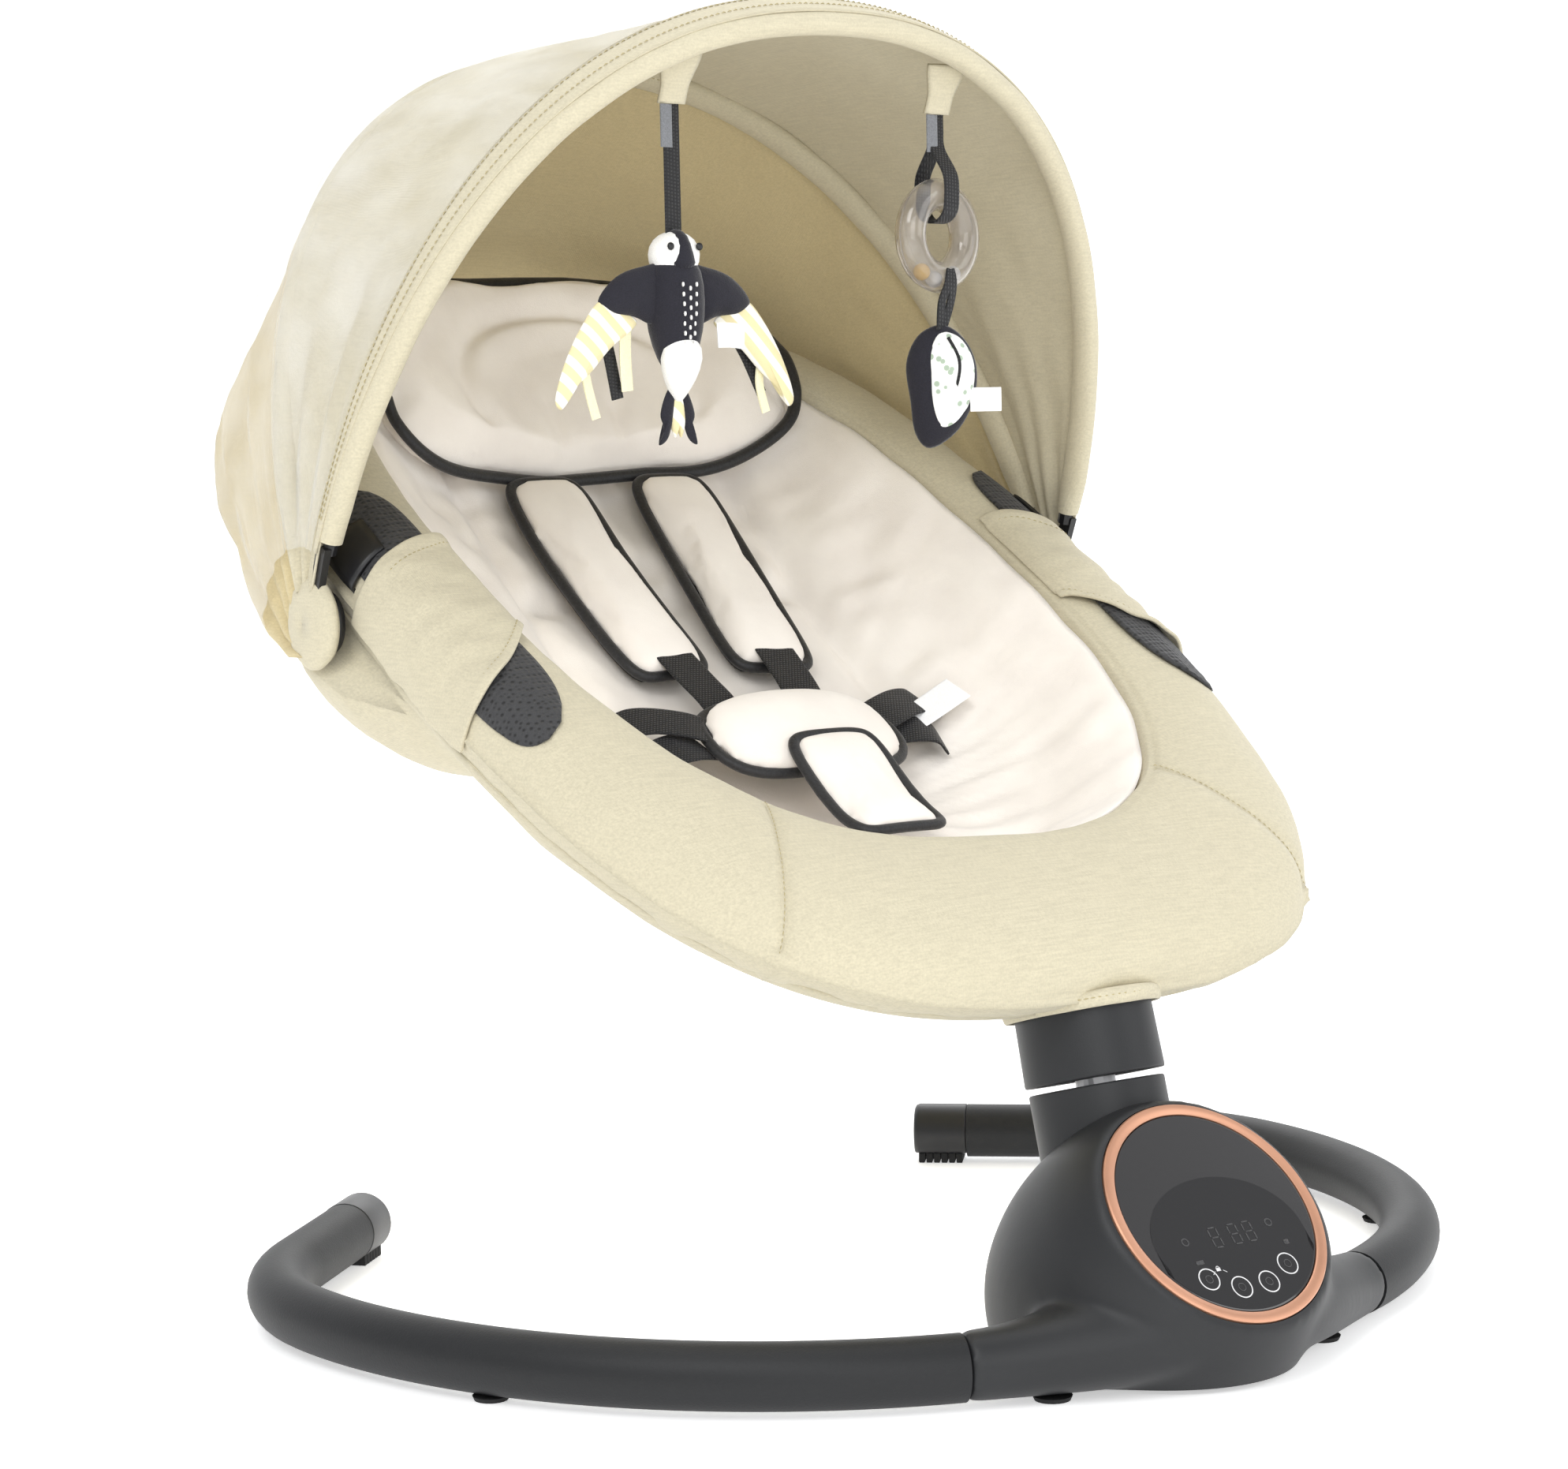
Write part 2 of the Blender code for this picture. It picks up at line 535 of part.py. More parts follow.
def shell_rings(skin, count=36):
    """Under shell: shallow at the foot, and a deep, boxy tub under the back and the seat."""
    rings = []
    for f in (0.12, 0.40, 0.62, 0.80, 0.92, 1.0):
        ring = []
        for k in range(count):
            x, s = across_rim(2 * math.pi * k / count, SHELL_EDGE[0] + (SHELL_SKIN if skin else 0.0))
            s_mid = RIM_INNER[2] - 0.03
            tub = smoothstep((s - 0.08) / 0.14)
            x, s = x * f, s_mid + (s - s_mid) * f
            deep = 0.062 + 0.012 * smoothstep((s - 0.02) / 0.12) - 0.030 * smoothstep((s - 0.26) / 0.25)
            n = SHELL_EDGE[1] - (1 - f ** (3.0 + 5.0 * tub)) * deep - (skin if f < 0.99 else 0.0)
            ring.append(seat(x, s, n))
        rings.append(ring)
    return rings


def tower_clearance(name):
    """The space of the swing tower, its collar and its hub, cut from what surrounds them."""
    profile = ((-0.02, COLLAR_R), (0.0468, COLLAR_R), (0.0468, 0.0365), (0.052, 0.0365), (0.052, 0.0262),
               (0.0765, 0.0262))
    return turned(name, profile, SWING_BASE, SWING_AXIS, LINEN, 32)


def build_bowl():
    pad_top = bowl_rings(0.0, -LINER_INSET)
    pad_under = bowl_rings(-LINER_THICK, -0.003)
    loft("liner_pad", pad_under + pad_top[::-1], VELOUR)
    shell_top = shell_rings(0.0)
    shell_under = shell_rings(SHELL_THICK)
    shell = loft("under_shell", shell_under + shell_top[::-1], LINEN)
    boolean(shell, tower_clearance("shell_clearance"))


def rim_piece(name, t_low, t_high, profile, look, count=14):
    """A soft strip laid along the rim between two angles; profile of (r, height over skin)."""
    rings = []
    for i in range(count):
        t = t_low + (t_high - t_low) * i / (count - 1)
        rings.append([seat(*across_rim(t, r), rim_height(min(r, 1.0)) + lift) for r, lift in profile])
    return loft(name, rings, look)


def angle_at(s_wanted, side):
    """Angle t where the rim's middle line reaches s on the given side."""
    best = min((abs(across_rim(t, 0.5)[1] - s_wanted), t) for t in np.linspace(-1.5, 1.5, 1201))
    return best[1] if side > 0 else math.pi - best[1]


def build_side_fabric():
    under = [(r, 0.0010) for r in (0.30, 0.60, 0.82, 0.95)]
    over = [(r, 0.0028) for r in (0.95, 0.82, 0.60, 0.30)]
    sleeve_low = [(r, 0.0040) for r in (0.20, 0.30, 0.60, 0.82, 0.95)] + [(1.06, 0.0080)]
    sleeve_top = [(1.06, 0.0110), (0.95, 0.0170), (0.82, 0.0200), (0.60, 0.0200), (0.30, 0.0150),
                  (0.20, 0.0080)]
    for label, side in (("left", -1), ("right", 1)):
        low, high = (angle_at(s, side) for s in MESH_RUN)
        rim_piece("mesh_strip_" + label, low, high, under + over, WEBBING)
        low, high = (angle_at(s, side) for s in SLEEVE_RUN)
        rim_piece("side_sleeve_" + label, low, high, sleeve_low + sleeve_top, LINEN)


# ---------------------------------------------------------------- harness and pads
def strip(name, centres, width, thick, look, plump=0.0):
    """A flat strap or pad through (x, s, n) centres, with its width across the run."""
    pts = [seat(*c) for c in centres]
    rings = []
    for i, p in enumerate(pts):
        a = pts[max(i - 1, 0)]
        b = pts[min(i + 1, len(pts) - 1)]
        along = (b - a).normalized()
        across = along.cross(SEAT_NORMAL).normalized()
        up = across.cross(along).normalized()
        half_w, half_t = width / 2, thick / 2
        edge = half_t * (1 - plump)
        ring = [p - across * half_w - up * edge, p - up * half_t, p + across * half_w - up * edge,
                p + across * half_w + up * edge, p + up * half_t, p - across * half_w + up * edge]
        rings.append(ring)
    return loft(name, rings, look)


def lie(x, s):
    """Height of the liner's top at (x, s), or of the rim's skin outside it."""
    half_width, half_length, centre, power = RIM_INNER
    half_width, half_length = half_width - LINER_INSET, half_length - LINER_INSET
    f = 0.8
    for _ in range(6):
        middle = centre - 0.05 * (1 - f)
        f = ((abs(x) / half_width) ** power + (abs(s - middle) / half_length) ** power) ** (1 / power)
        f = min(f, 1.0)
    sunk = -0.004 - (1 - f ** LINER_POWER) * (LINER_DEPTH - LINER_SLOPE * (s - 0.14))
    outside = ((abs(x) / half_width) ** power + (abs(s - centre) / half_length) ** power) ** (1 / power)
    return sunk + 0.016 * smoothstep((outside - 0.97) / 0.10)


def pillow_rings():
    """The head pillow: slices across X, each a flat loop that follows what it lies on."""
    rings = []
    half_width, s_low, s_high, thick = PILLOW
    for i in range(13):
        p = -1 + 2 * i / 12
        x = half_width * p
        edge = max(1 - abs(p) ** 4, 0.0) ** 0.5
        low, high = [], []
        for k in range(8):
            q = k / 7
            s = s_low + (s_high - s_low) * q + 0.010 * (1 - p * p)
            rise = thick * (0.18 + 0.82 * edge * math.sin(math.pi * (0.08 + 0.84 * q)))
            base = lie(x, s) + 0.0028
            low.append(seat(x, s, base))
            high.append(seat(x, s, base + rise))
        rings.append(low + high[::-1])
    return rings


def build_harness():
    for label, side in (("left", -1), ("right", 1)):
        pad_run = [(side * x, s, lie(x + 0.026, s) + SHOULDER_LIFT) for x, s in SHOULDER_RUN]
        strip("shoulder_pad_" + label, pad_run, 0.052, 0.014, VELOUR, 0.5)
        strip("shoulder_strap_" + label, [(side * x, s, n) for x, s, n in SHOULDER_STRAP], *STRAP, WEBBING)
        strip("waist_strap_" + label, [(side * x, s, n) for x, s, n in WAIST_STRAP], *STRAP, WEBBING)
    strip("belly_pad", BELLY_RUN, 0.118, 0.013, VELOUR, 0.5)
    strip("crotch_pad", CROTCH_RUN, 0.056, 0.010, VELOUR, 0.5)
    box("buckle", *BUCKLE, WEBBING, seat)
    loft("head_pillow", pillow_rings(), VELOUR)


# ---------------------------------------------------------------- canopy
def arch(u):
    """Canopy arch at u from 0 (left pivot) to 1 (right pivot): x and height."""
    a = math.pi * (1 - u)
    half_width, height = BOW_ARCH
    c, s = math.cos(a), math.sin(a)
    x = half_width * math.copysign(abs(c) ** ARCH_POWER, c)
    return x, height * abs(s) ** ARCH_POWER


def bow_rings(angle, count=8, stations=25):
    rings = []
    spread = Vector((0, -math.sin(math.radians(angle)), math.cos(math.radians(angle))))
    lift = Vector((0, math.cos(math.radians(angle)), math.sin(math.radians(angle))))
    for i in range(stations):
        u = i / (stations - 1)
        u = 0.03 + 0.94 * u
        x, h = arch(u)
        x0, h0 = arch(u - 0.01)
        x1, h1 = arch(u + 0.01)
        along = (Vector((1, 0, 0)) * (x1 - x0) + lift * (h1 - h0)).normalized()
        centre = fan(x, h, angle)
        rings.append(ring_points(centre, spread, along.cross(spread), BOW_R, BOW_R, count))
    return rings


def bow_with_hubs(name, angle, inner_x):
    """A bow with a drilled hub at each end, joined to it by an arm and a heel."""
    bow = loft(name, bow_rings(angle), CHARCOAL)
    lift = Vector((0, math.cos(math.radians(angle)), math.sin(math.radians(angle))))
    out = Vector((0, -math.sin(math.radians(angle)), math.cos(math.radians(angle))))
    outer_x = inner_x + HUB_THICK
    foot_x, foot_h = arch(0.97)
    for side in (-1, 1):
        label = "%s_%d" % (name, side)
        hub = turned(label + "_hub", ((inner_x, HUB_R), (outer_x, HUB_R)), PIVOT, (side, 0, 0), CHARCOAL, 24,
                     side=(0, 1, 0))
        boolean(bow, hub, "UNION")

        def place(x, v, w, side=side):
            return PIVOT + Vector((side * x, 0, 0)) + out * v + lift * w

        arm = box(label + "_arm", (inner_x, -0.0045, 0.0), (outer_x, 0.0045, foot_h + 0.004), CHARCOAL, place)
        boolean(bow, arm, "UNION")
        heel = box(label + "_heel", (inner_x, -0.0035, foot_h - 0.006),
                   (foot_x + 0.001, 0.0035, foot_h + 0.003), CHARCOAL, place)
        boolean(bow, heel, "UNION")
        bore = turned(label + "_bore", ((0.2, PIN_BORE_R), (0.3, PIN_BORE_R)), PIVOT, (side, 0, 0), CHARCOAL,
                      20, side=(0, 1, 0))
        boolean(bow, bore)
    set_origin(bow, PIVOT)


def canopy_sheet(name, angle_low, angle_high, swell, steps=8, stations=27):
    """A fan of fabric between two angles; angle_low and swell give its back edge and its sag."""
    outer, inner = [], []
    for i in range(steps):
        p = i / (steps - 1)
        extra = swell * math.sin(math.pi * min(p / 0.9, 1.0))
        for grid, lift in ((inner, FABRIC_LIFT), (outer, FABRIC_LIFT + FABRIC_THICK)):
            row = []
            for j in range(stations):
                u = SHEET_FOOT + (1 - 2 * SHEET_FOOT) * j / (stations - 1)
                x, h = arch(u)
                x0, h0 = arch(u - 0.01)
                x1, h1 = arch(u + 0.01)
                tangent = Vector((x1 - x0, h1 - h0)).normalized()
                nx, nh = -tangent.y, tangent.x
                low = angle_low(u)
                angle = low + (angle_high - low) * p
                row.append(fan(x + nx * lift, h + nh * lift + extra * abs(math.sin(math.pi * u)), angle))
            grid.append(row)
    sheet = loft(name, [outer[i] + inner[i][::-1] for i in range(steps)], LINEN)
    set_origin(sheet, PIVOT)


def build_canopy():
    bow_with_hubs("rear_bow", REAR_BOW_ANGLE, HUB_X[0])
    bow_with_hubs("front_bow", FRONT_BOW_ANGLE, HUB_X[1])
    canopy_sheet("canopy_front", lambda u: REAR_BOW_ANGLE + 0.4, FRONT_BOW_ANGLE + 1.2, -0.020)
    canopy_sheet("canopy_rear", lambda u: BACK_EDGE_ANGLE - 19.0 * (1 - math.sin(math.pi * u)),
                 REAR_BOW_ANGLE - 0.4, -0.006)
    for label, side in (("left", -1), ("right", 1)):
        turned("canopy_clip_" + label, [(x, CLIP_R) for x in CLIP_X], PIVOT, (side, 0, 0), CHARCOAL, 24,
               side=(0, 1, 0))


def loop_bottom(side):
    """Where a toy hangs: under the front bow's hem, a little inside it."""
    x = side * LOOP_X
    height = BOW_ARCH[1] * (1 - (LOOP_X / BOW_ARCH[0]) ** 2.2) ** 0.45
    return fan(x, height - LOOP_DROP, FRONT_BOW_ANGLE - 1.5)


def hanging(name, sections, base, look, count=20, yaw=0.0):
    """A body stacked downwards from base: sections of (drop, half width, half depth, shift)."""
    u = Vector((math.cos(yaw), math.sin(yaw), 0))
    v = Vector((-math.sin(yaw), math.cos(yaw), 0))
    rings = []
    for drop, wide, deep, shift in sections:
        centre = base + u * shift - Vector((0, 0, drop))
        rings.append(ring_points(centre, u, v, wide, deep, count))
    return loft(name, rings, look)


def toy_strap(name, top, low, high):
    """A flat tape that hangs from top, between two drops."""
    return hanging(name, ((low, *TOY_STRAP, 0), (high, *TOY_STRAP, 0)), top, WEBBING, 8)


def build_bird(top):
    strap = toy_strap("bird_strap", top, LOOP_GAP, BIRD_STRAP)
    body_top = top - Vector((0, 0, BIRD_STRAP + 0.0005))
    body = hanging("bird_toy", ((0.0, 0.006, 0.005, 0), (0.008, 0.015, 0.012, 0), (0.020, 0.017, 0.015, 0),
                                (0.040, 0.017, 0.016, 0), (0.060, 0.014, 0.013, 0), (0.078, 0.008, 0.008, 0),
                                (0.086, 0.008, 0.004, 0), (0.108, 0.013, 0.003, 0)), body_top, PLUSH_DARK)
    for side in (-1, 1):
        wing = []
        for reach, drop, chord in ((0.004, 0.030, 0.020), (0.025, 0.030, 0.026), (0.045, 0.044, 0.022),
                                   (0.062, 0.062, 0.014), (0.074, 0.082, 0.005)):
            centre = body_top + Vector((side * reach, 0.0, -drop))
            wing.append(ring_points(centre, Vector((0.25 * side, 0, 1)).normalized(), Vector((0, 1, 0)),
                                    chord, 0.0045, 12))
        piece = loft("bird_wing_%d" % side, wing, PLUSH_LIGHT)
        boolean(body, piece, "UNION")
    for piece in (strap, body):
        set_origin(piece, top)


def build_rattle(top):
    turn = math.radians(RATTLE_TURN)
    side = Vector((math.cos(turn), math.sin(turn), 0))
    facing = Vector((-side.y, side.x, 0))
    outer, tube = RATTLE_R
    hollow_r = tube - 0.0015
    middle = outer - tube
    pieces = [toy_strap("rattle_strap", top, LOOP_GAP, RATTLE_STRAP)]
    centre = top - Vector((0, 0, RATTLE_STRAP + GAP + outer))

    def section(radius, count):
        angles = [2 * math.pi * k / count for k in range(count)]
        return [(radius * math.sin(a), middle + radius * math.cos(a)) for a in angles]

    ring = turned("rattle_ring", section(tube, 8), centre, facing, CLEAR, 24, loop=True, side=side)
    hollow = turned("rattle_hollow", section(hollow_r, 6), centre, facing, CLEAR, 20, loop=True, side=side)
    boolean(ring, hollow)
    vent = turned("rattle_vent", ((middle + 0.004, 0.0008), (outer + 0.002, 0.0008)), centre, side, CLEAR, 8,
                  side=facing)
    boolean(ring, vent)
    pieces.append(ring)
    for label, angle in (("yellow", -118.0), ("white", -80.0)):
        a = math.radians(angle)
        at = centre + side * (middle * math.cos(a)) + Vector((0, 0, 1)) * (middle * math.sin(a) - 0.0012)
        arc = [(0.0048 * math.cos(b), 0.0048 * math.sin(b)) for b in np.linspace(math.pi - 0.25, 0.25, 7)]
        pieces.append(turned("bead_" + label, arc, at, (0, 0, 1), BEAD, 14))
    strap_top = centre - Vector((0, 0, outer + GAP))
    leaf_strap = toy_strap("leaf_strap", strap_top, 0.0, LEAF_STRAP)
    sections = ((0.0, 0.004, 0.004, 0.002), (0.010, 0.015, 0.010, 0.0), (0.030, 0.0195, 0.013, 0.0),
                (0.048, 0.016, 0.011, -0.002), (0.062, 0.007, 0.006, -0.006), (0.066, 0.003, 0.003, -0.008))
    leaf = hanging("leaf_toy", sections, strap_top - Vector((0, 0, 0.0183)), PLUSH_LIGHT,
                   yaw=math.radians(LEAF_TURN))
    boolean(leaf, leaf_strap, "UNION")
    pieces.append(leaf)
    for piece in pieces:
        set_origin(piece, top)


def build_toys():
    for label, side in (("left", -1), ("right", 1)):
        top = loop_bottom(side)
        tab = hanging("toy_loop_" + label, ((-0.026, 0.011, 0.0015, 0), (-0.010, 0.011, 0.0015, 0),
                                            (-0.0003, 0.008, 0.0015, 0)), top, LINEN, 12)
        set_origin(tab, PIVOT)
    build_bird(loop_bottom(-1))
    build_rattle(loop_bottom(1))


def main():
    clear_scene()
    for label, side in (("left", -1), ("right", 1)):
        build_leg(side, label)
    build_housing()
    build_panel()
    build_drive()
    build_upper_tower()
    build_rim()
    build_bowl()
    build_side_fabric()
    build_harness()
    build_canopy()
    build_toys()


main()
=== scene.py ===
"""Looks of the baby swing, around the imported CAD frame: fabric, pads, canopy, toys and panel.

Metres, +Z up. The foot end and the control panel face -Y and the head end faces +Y.
"""
import json
import math

import bmesh
import bpy
import numpy as np
from mathutils import Matrix, Vector, noise


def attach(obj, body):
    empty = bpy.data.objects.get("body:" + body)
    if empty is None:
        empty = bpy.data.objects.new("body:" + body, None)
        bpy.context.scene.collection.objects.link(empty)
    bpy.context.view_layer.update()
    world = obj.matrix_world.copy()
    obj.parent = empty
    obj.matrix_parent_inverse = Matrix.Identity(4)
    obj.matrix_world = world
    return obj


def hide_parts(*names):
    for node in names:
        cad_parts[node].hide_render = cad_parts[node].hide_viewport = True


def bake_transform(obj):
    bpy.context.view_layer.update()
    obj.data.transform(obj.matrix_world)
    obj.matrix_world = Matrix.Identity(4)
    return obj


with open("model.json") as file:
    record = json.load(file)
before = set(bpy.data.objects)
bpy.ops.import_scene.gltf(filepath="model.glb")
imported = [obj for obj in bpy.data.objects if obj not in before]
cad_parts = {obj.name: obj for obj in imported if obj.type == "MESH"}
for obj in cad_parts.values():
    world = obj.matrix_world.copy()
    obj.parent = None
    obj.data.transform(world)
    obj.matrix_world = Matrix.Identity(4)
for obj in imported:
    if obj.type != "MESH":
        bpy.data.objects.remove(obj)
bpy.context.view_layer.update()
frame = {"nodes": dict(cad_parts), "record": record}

# ---------------------------------------------------------------- driving dimensions
JOINTS = {joint["name"]: joint for joint in frame["record"]["behaviour"]["joints"]}
SWING_BASE = Vector(JOINTS["swing"]["pos_m"])
SWING_AXIS = Vector(JOINTS["swing"]["axis"]).normalized()
PIVOT = Vector(JOINTS["rear_bow_fold"]["pos_m"])
BIRD_TOP = Vector(JOINTS["bird_swing"]["pos_m"])
RATTLE_TOP = Vector(JOINTS["rattle_swing"]["pos_m"])

FRAME_Y = SWING_BASE.y + 0.183      # the swing's own plan is laid out from this line
TUBE_R = 0.016
TUBE_Z = 0.0185
TUBE_SIDES = 40
LEG_START = (0.125, -0.234)
LEG_HEADING = 21.0
LEG_ARC = (0.298, 68.5)
LEG_BEND = (0.136, 48.0)
LEG_END = 0.078
ARM_GROWTH = (0.030, 0.012)
APRON_FORWARD = 0.026
PANEL_CENTRE = Vector((0.0, -0.269 + FRAME_Y, 0.079))
PANEL_TILT = 42.0
PANEL_R = 0.060
GLASS_R = 0.0538
EGG_PROFILE = ((0.0, 0.0630), (0.012, 0.0690), (0.030, 0.0745), (0.055, 0.0775), (0.080, 0.0760),
        (0.105, 0.0690), (0.125, 0.0560), (0.140, 0.0370), (0.147, 0.0140))
SLEEVE_R = 0.0335
TOWER_TUBE = (0.0035, 0.0415)       # lowest and highest place of the upper tube along the swing axis
HOUSING_VOXEL = 0.0022
HOUSING_SMOOTHING = 22
PAD_RIBS = 6
RIB_START = 0.0045
RIB_PITCH = 0.0046
CAP_GAP = 0.0003
COLLAR_HOLE = 0.0415
SEAT_ORIGIN = Vector((0.0, -0.087 + FRAME_Y, 0.262))
SEAT_TILT = 30.0
RIM_OUTER = (0.234, 0.345, 0.203, 2.8)
RIM_INNER = (0.177, 0.272, 0.235, 2.6)
LINER_DEPTH = 0.078
SHELL_EDGE = (0.77, -0.036)
BOW_ARCH = (0.2460, 0.332)
ARCH_POWER = 0.90
FRONT_BOW_ANGLE = 113.0
REAR_BOW_ANGLE = 67.0
NETTING_LIFT = 0.0095
LINER_THICK = 0.011
MESH_RUN = (0.086, 0.300)           # places along the seat where each mesh strip starts and ends
SLEEVE_RUN = (0.140, 0.243)
CLIP_RUN = (0.249, 0.276)
WEBBING_WIDTH = 0.025
CLOTH_PRESSURE = 4.0
CLOTH_STIFFNESS = 20
CLOTH_FRAMES = 20
SHOULDER_HALF = 0.0250
BELLY_HALF = 0.0580
CROTCH_HALF = 0.0270
PILLOW_S = 0.441
PILLOW_HALF = (0.141, 0.0640)       # half its width, and half its length along the seat
TUCK_HALF = (0.078, 0.056)          # the pillow's sewn horseshoe
BIRD_STRAP = 0.0665
RATTLE_STRAP = 0.034
RATTLE_R = 0.0305
RATTLE_TUBE = 0.0085
RING_SIDES = 96
LEAF_TURN = -30.0               # degrees about +Z, from facing the foot end
COVER_STITCH = (0.0034, 0.0023)     # pitch and length of a stitch
HEM_STITCH = (0.0036, 0.0025)
WEAVE_PERIOD = 0.0011
WEAVE_DEPTH = 0.00035
TAPE_PERIOD = 0.0016
TAPE_DEPTH = 0.0005

TILT = math.radians(SEAT_TILT)
SEAT_ALONG = Vector((0, math.cos(TILT), math.sin(TILT)))
SEAT_NORMAL = Vector((0, -math.sin(TILT), math.cos(TILT)))
SWING_FRONT = Vector((0, -SWING_AXIS.z, SWING_AXIS.y))
FACE = math.radians(PANEL_TILT)
PANEL_NORMAL = Vector((0, -math.cos(FACE), math.sin(FACE)))
X_AXIS = Vector((1, 0, 0))
Z_AXIS = Vector((0, 0, 1))


def seat(x, s, n):
    """x to the side, s along the rim plane towards the head, n over the rim plane."""
    return SEAT_ORIGIN + X_AXIS * x + SEAT_ALONG * s + SEAT_NORMAL * n


def tower(x, q, h):
    """x to the side, q towards the front, h up the swing axis from the sleeve's top."""
    return SWING_BASE + X_AXIS * x + SWING_FRONT * q + SWING_AXIS * h


def fan(x, radius, angle):
    """A point of the canopy: radius from the pivot axis, angle in degrees from +Y."""
    a = math.radians(angle)
    return PIVOT + Vector((x, radius * math.cos(a), radius * math.sin(a)))


def smoothstep(t):
    t = min(max(t, 0.0), 1.0)
    return t * t * (3 - 2 * t)


def squared(c, power):
    """A cosine or sine for a superellipse of this power: 2 is an ellipse, and more is squarer."""
    return math.copysign(abs(c) ** (2 / power), c)


def turns(count):
    """The angles of count even steps round a circle."""
    return [2 * math.pi * k / count for k in range(count)]


def ring_of(centre, u, v, across, up, count):
    """Points of an ellipse round centre, in the plane of u and v."""
    return [centre + u * (across * math.cos(a)) + v * (up * math.sin(a)) for a in turns(count)]


def oval(shape, t):
    """Point (x, s) of a seat oval: half width, half length, centre and power."""
    half_width, half_length, centre, power = shape
    return half_width * squared(math.cos(t), power), centre + half_length * squared(math.sin(t), power)


def across_rim(t, r):
    """Point (x, s) across the rim at the angle t: r = 0 inner edge, 1 outer edge."""
    xi, si = oval(RIM_INNER, t)
    xo, so = oval(RIM_OUTER, t)
    return xi + (xo - xi) * r, si + (so - si) * r


def even_angles(r, count):
    fine = 3000
    pts = np.array([across_rim(2 * math.pi * k / fine, r) for k in range(fine + 1)])
    run = np.concatenate([[0], np.cumsum(np.hypot(*np.diff(pts, axis=0).T))])
    want = np.linspace(0, run[-1], count, endpoint=False)
    return list(np.interp(want, run, np.linspace(0, 2 * math.pi, fine + 1)))


def ripple(x, y, z, size):
    """Smooth noise from -1 to 1 whose features are about size metres."""
    return noise.noise(Vector((x, y, z)) / size)


# ---------------------------------------------------------------- materials
def linear(r, g, b):
    """Linear colour of an sRGB one given as 0 to 255."""
    return tuple(c / 255 / 12.92 if c / 255 <= 0.04045 else ((c / 255 + 0.055) / 1.055) ** 2.4
            for c in (r, g, b))


class Look:
    """A Principled material, with short calls for the texture nodes that feed it."""

    def __init__(self, name, colour, roughness, **sockets):
        self.mat = bpy.data.materials.new(name)
        self.mat.use_nodes = True
        self.tree = self.mat.node_tree
        self.shader = self.tree.nodes["Principled BSDF"]
        self.colour = colour
        self.set(**{"Base Color": (*colour, 1.0), "Roughness": roughness})
        self.set(**sockets)
        self.place = self.add("ShaderNodeTexCoord").outputs["Object"]

    def set(self, **sockets):
        for key, value in sockets.items():
            self.shader.inputs[key.replace("_", " ")].default_value = value

    def add(self, kind, links=(), **values):
        made = self.tree.nodes.new(kind)
        for key, value in values.items():
            if hasattr(made, key):
                setattr(made, key, value)
            else:
                made.inputs[key.replace("_", " ")].default_value = value
        for key, source in links:
            self.tree.links.new(source, made.inputs[key])
        return made

    def mapped(self, scale, turn=(0, 0, 0)):
        return self.add("ShaderNodeMapping", [("Vector", self.place)], Scale=scale,
                Rotation=turn).outputs["Vector"]

    def grain(self, scale, detail=2.0, stretch=(1, 1, 1), turn=(0, 0, 0)):
        """Noise, 0 to 1, with about scale features per metre, longer along the small axes of stretch."""
        vector = self.mapped(tuple(scale * k for k in stretch), turn)
        return self.add("ShaderNodeTexNoise", [("Vector", vector)], Scale=1.0, Detail=detail).outputs["Fac"]

    def ribs(self, period, axis="X", turn=(0, 0, 0)):
        """Parallel ribs, 0 to 1, with this period in metres."""
        vector = self.mapped((1, 1, 1), turn)
        return self.add("ShaderNodeTexWave", [("Vector", vector)], wave_type="BANDS", bands_direction=axis,
                Scale=math.pi / 10 / period, Distortion=0.0).outputs["Fac"]

    def maths(self, operation, a, b):
        made = self.add("ShaderNodeMath", operation=operation)
        for socket, value in zip(made.inputs, (a, b)):
            if isinstance(value, (int, float)):
                socket.default_value = value
            else:
                self.tree.links.new(value, socket)
        return made.outputs[0]

    def ramp(self, factor, stops):
        made = self.add("ShaderNodeValToRGB", [("Fac", factor)])
        band = made.color_ramp
        for place, colour in stops[2:]:
            band.elements.new(place)
        for element, (place, colour) in zip(band.elements, sorted(stops, key=lambda stop: stop[0])):
            element.position = place
            element.color = (*colour, 1.0)
        return made.outputs["Color"]

    def blend(self, factor, a, b, kind="MIX"):
        made = self.add("ShaderNodeMix", data_type="RGBA", blend_type=kind)
        for socket, value in ((made.inputs[0], factor), (made.inputs[6], a), (made.inputs[7], b)):
            if isinstance(value, (int, float)):
                socket.default_value = value
            elif isinstance(value, tuple):
                socket.default_value = (*value, 1.0)
            else:
                self.tree.links.new(value, socket)
        return made.outputs[2]

    def paint(self, colour):
        self.tree.links.new(colour, self.shader.inputs["Base Color"])
        return self

    def rough(self, factor, low, high):
        made = self.add("ShaderNodeMapRange", [("Value", factor)], **{"To Min": low, "To Max": high})
        self.tree.links.new(made.outputs[0], self.shader.inputs["Roughness"])
        return self

    def bump(self, height, depth, strength=1.0):
        """Bumps of this depth in metres; several calls stack up."""
        links = [("Height", height)]
        socket = self.shader.inputs["Normal"]
        if socket.is_linked:
            links.append(("Normal", socket.links[0].from_socket))
        made = self.add("ShaderNodeBump", links, Strength=strength, Distance=depth)
        self.tree.links.new(made.outputs["Normal"], socket)
        return self


def tint(colour, by):
    return tuple(min(max(c * by, 0.0), 1.0) for c in colour)


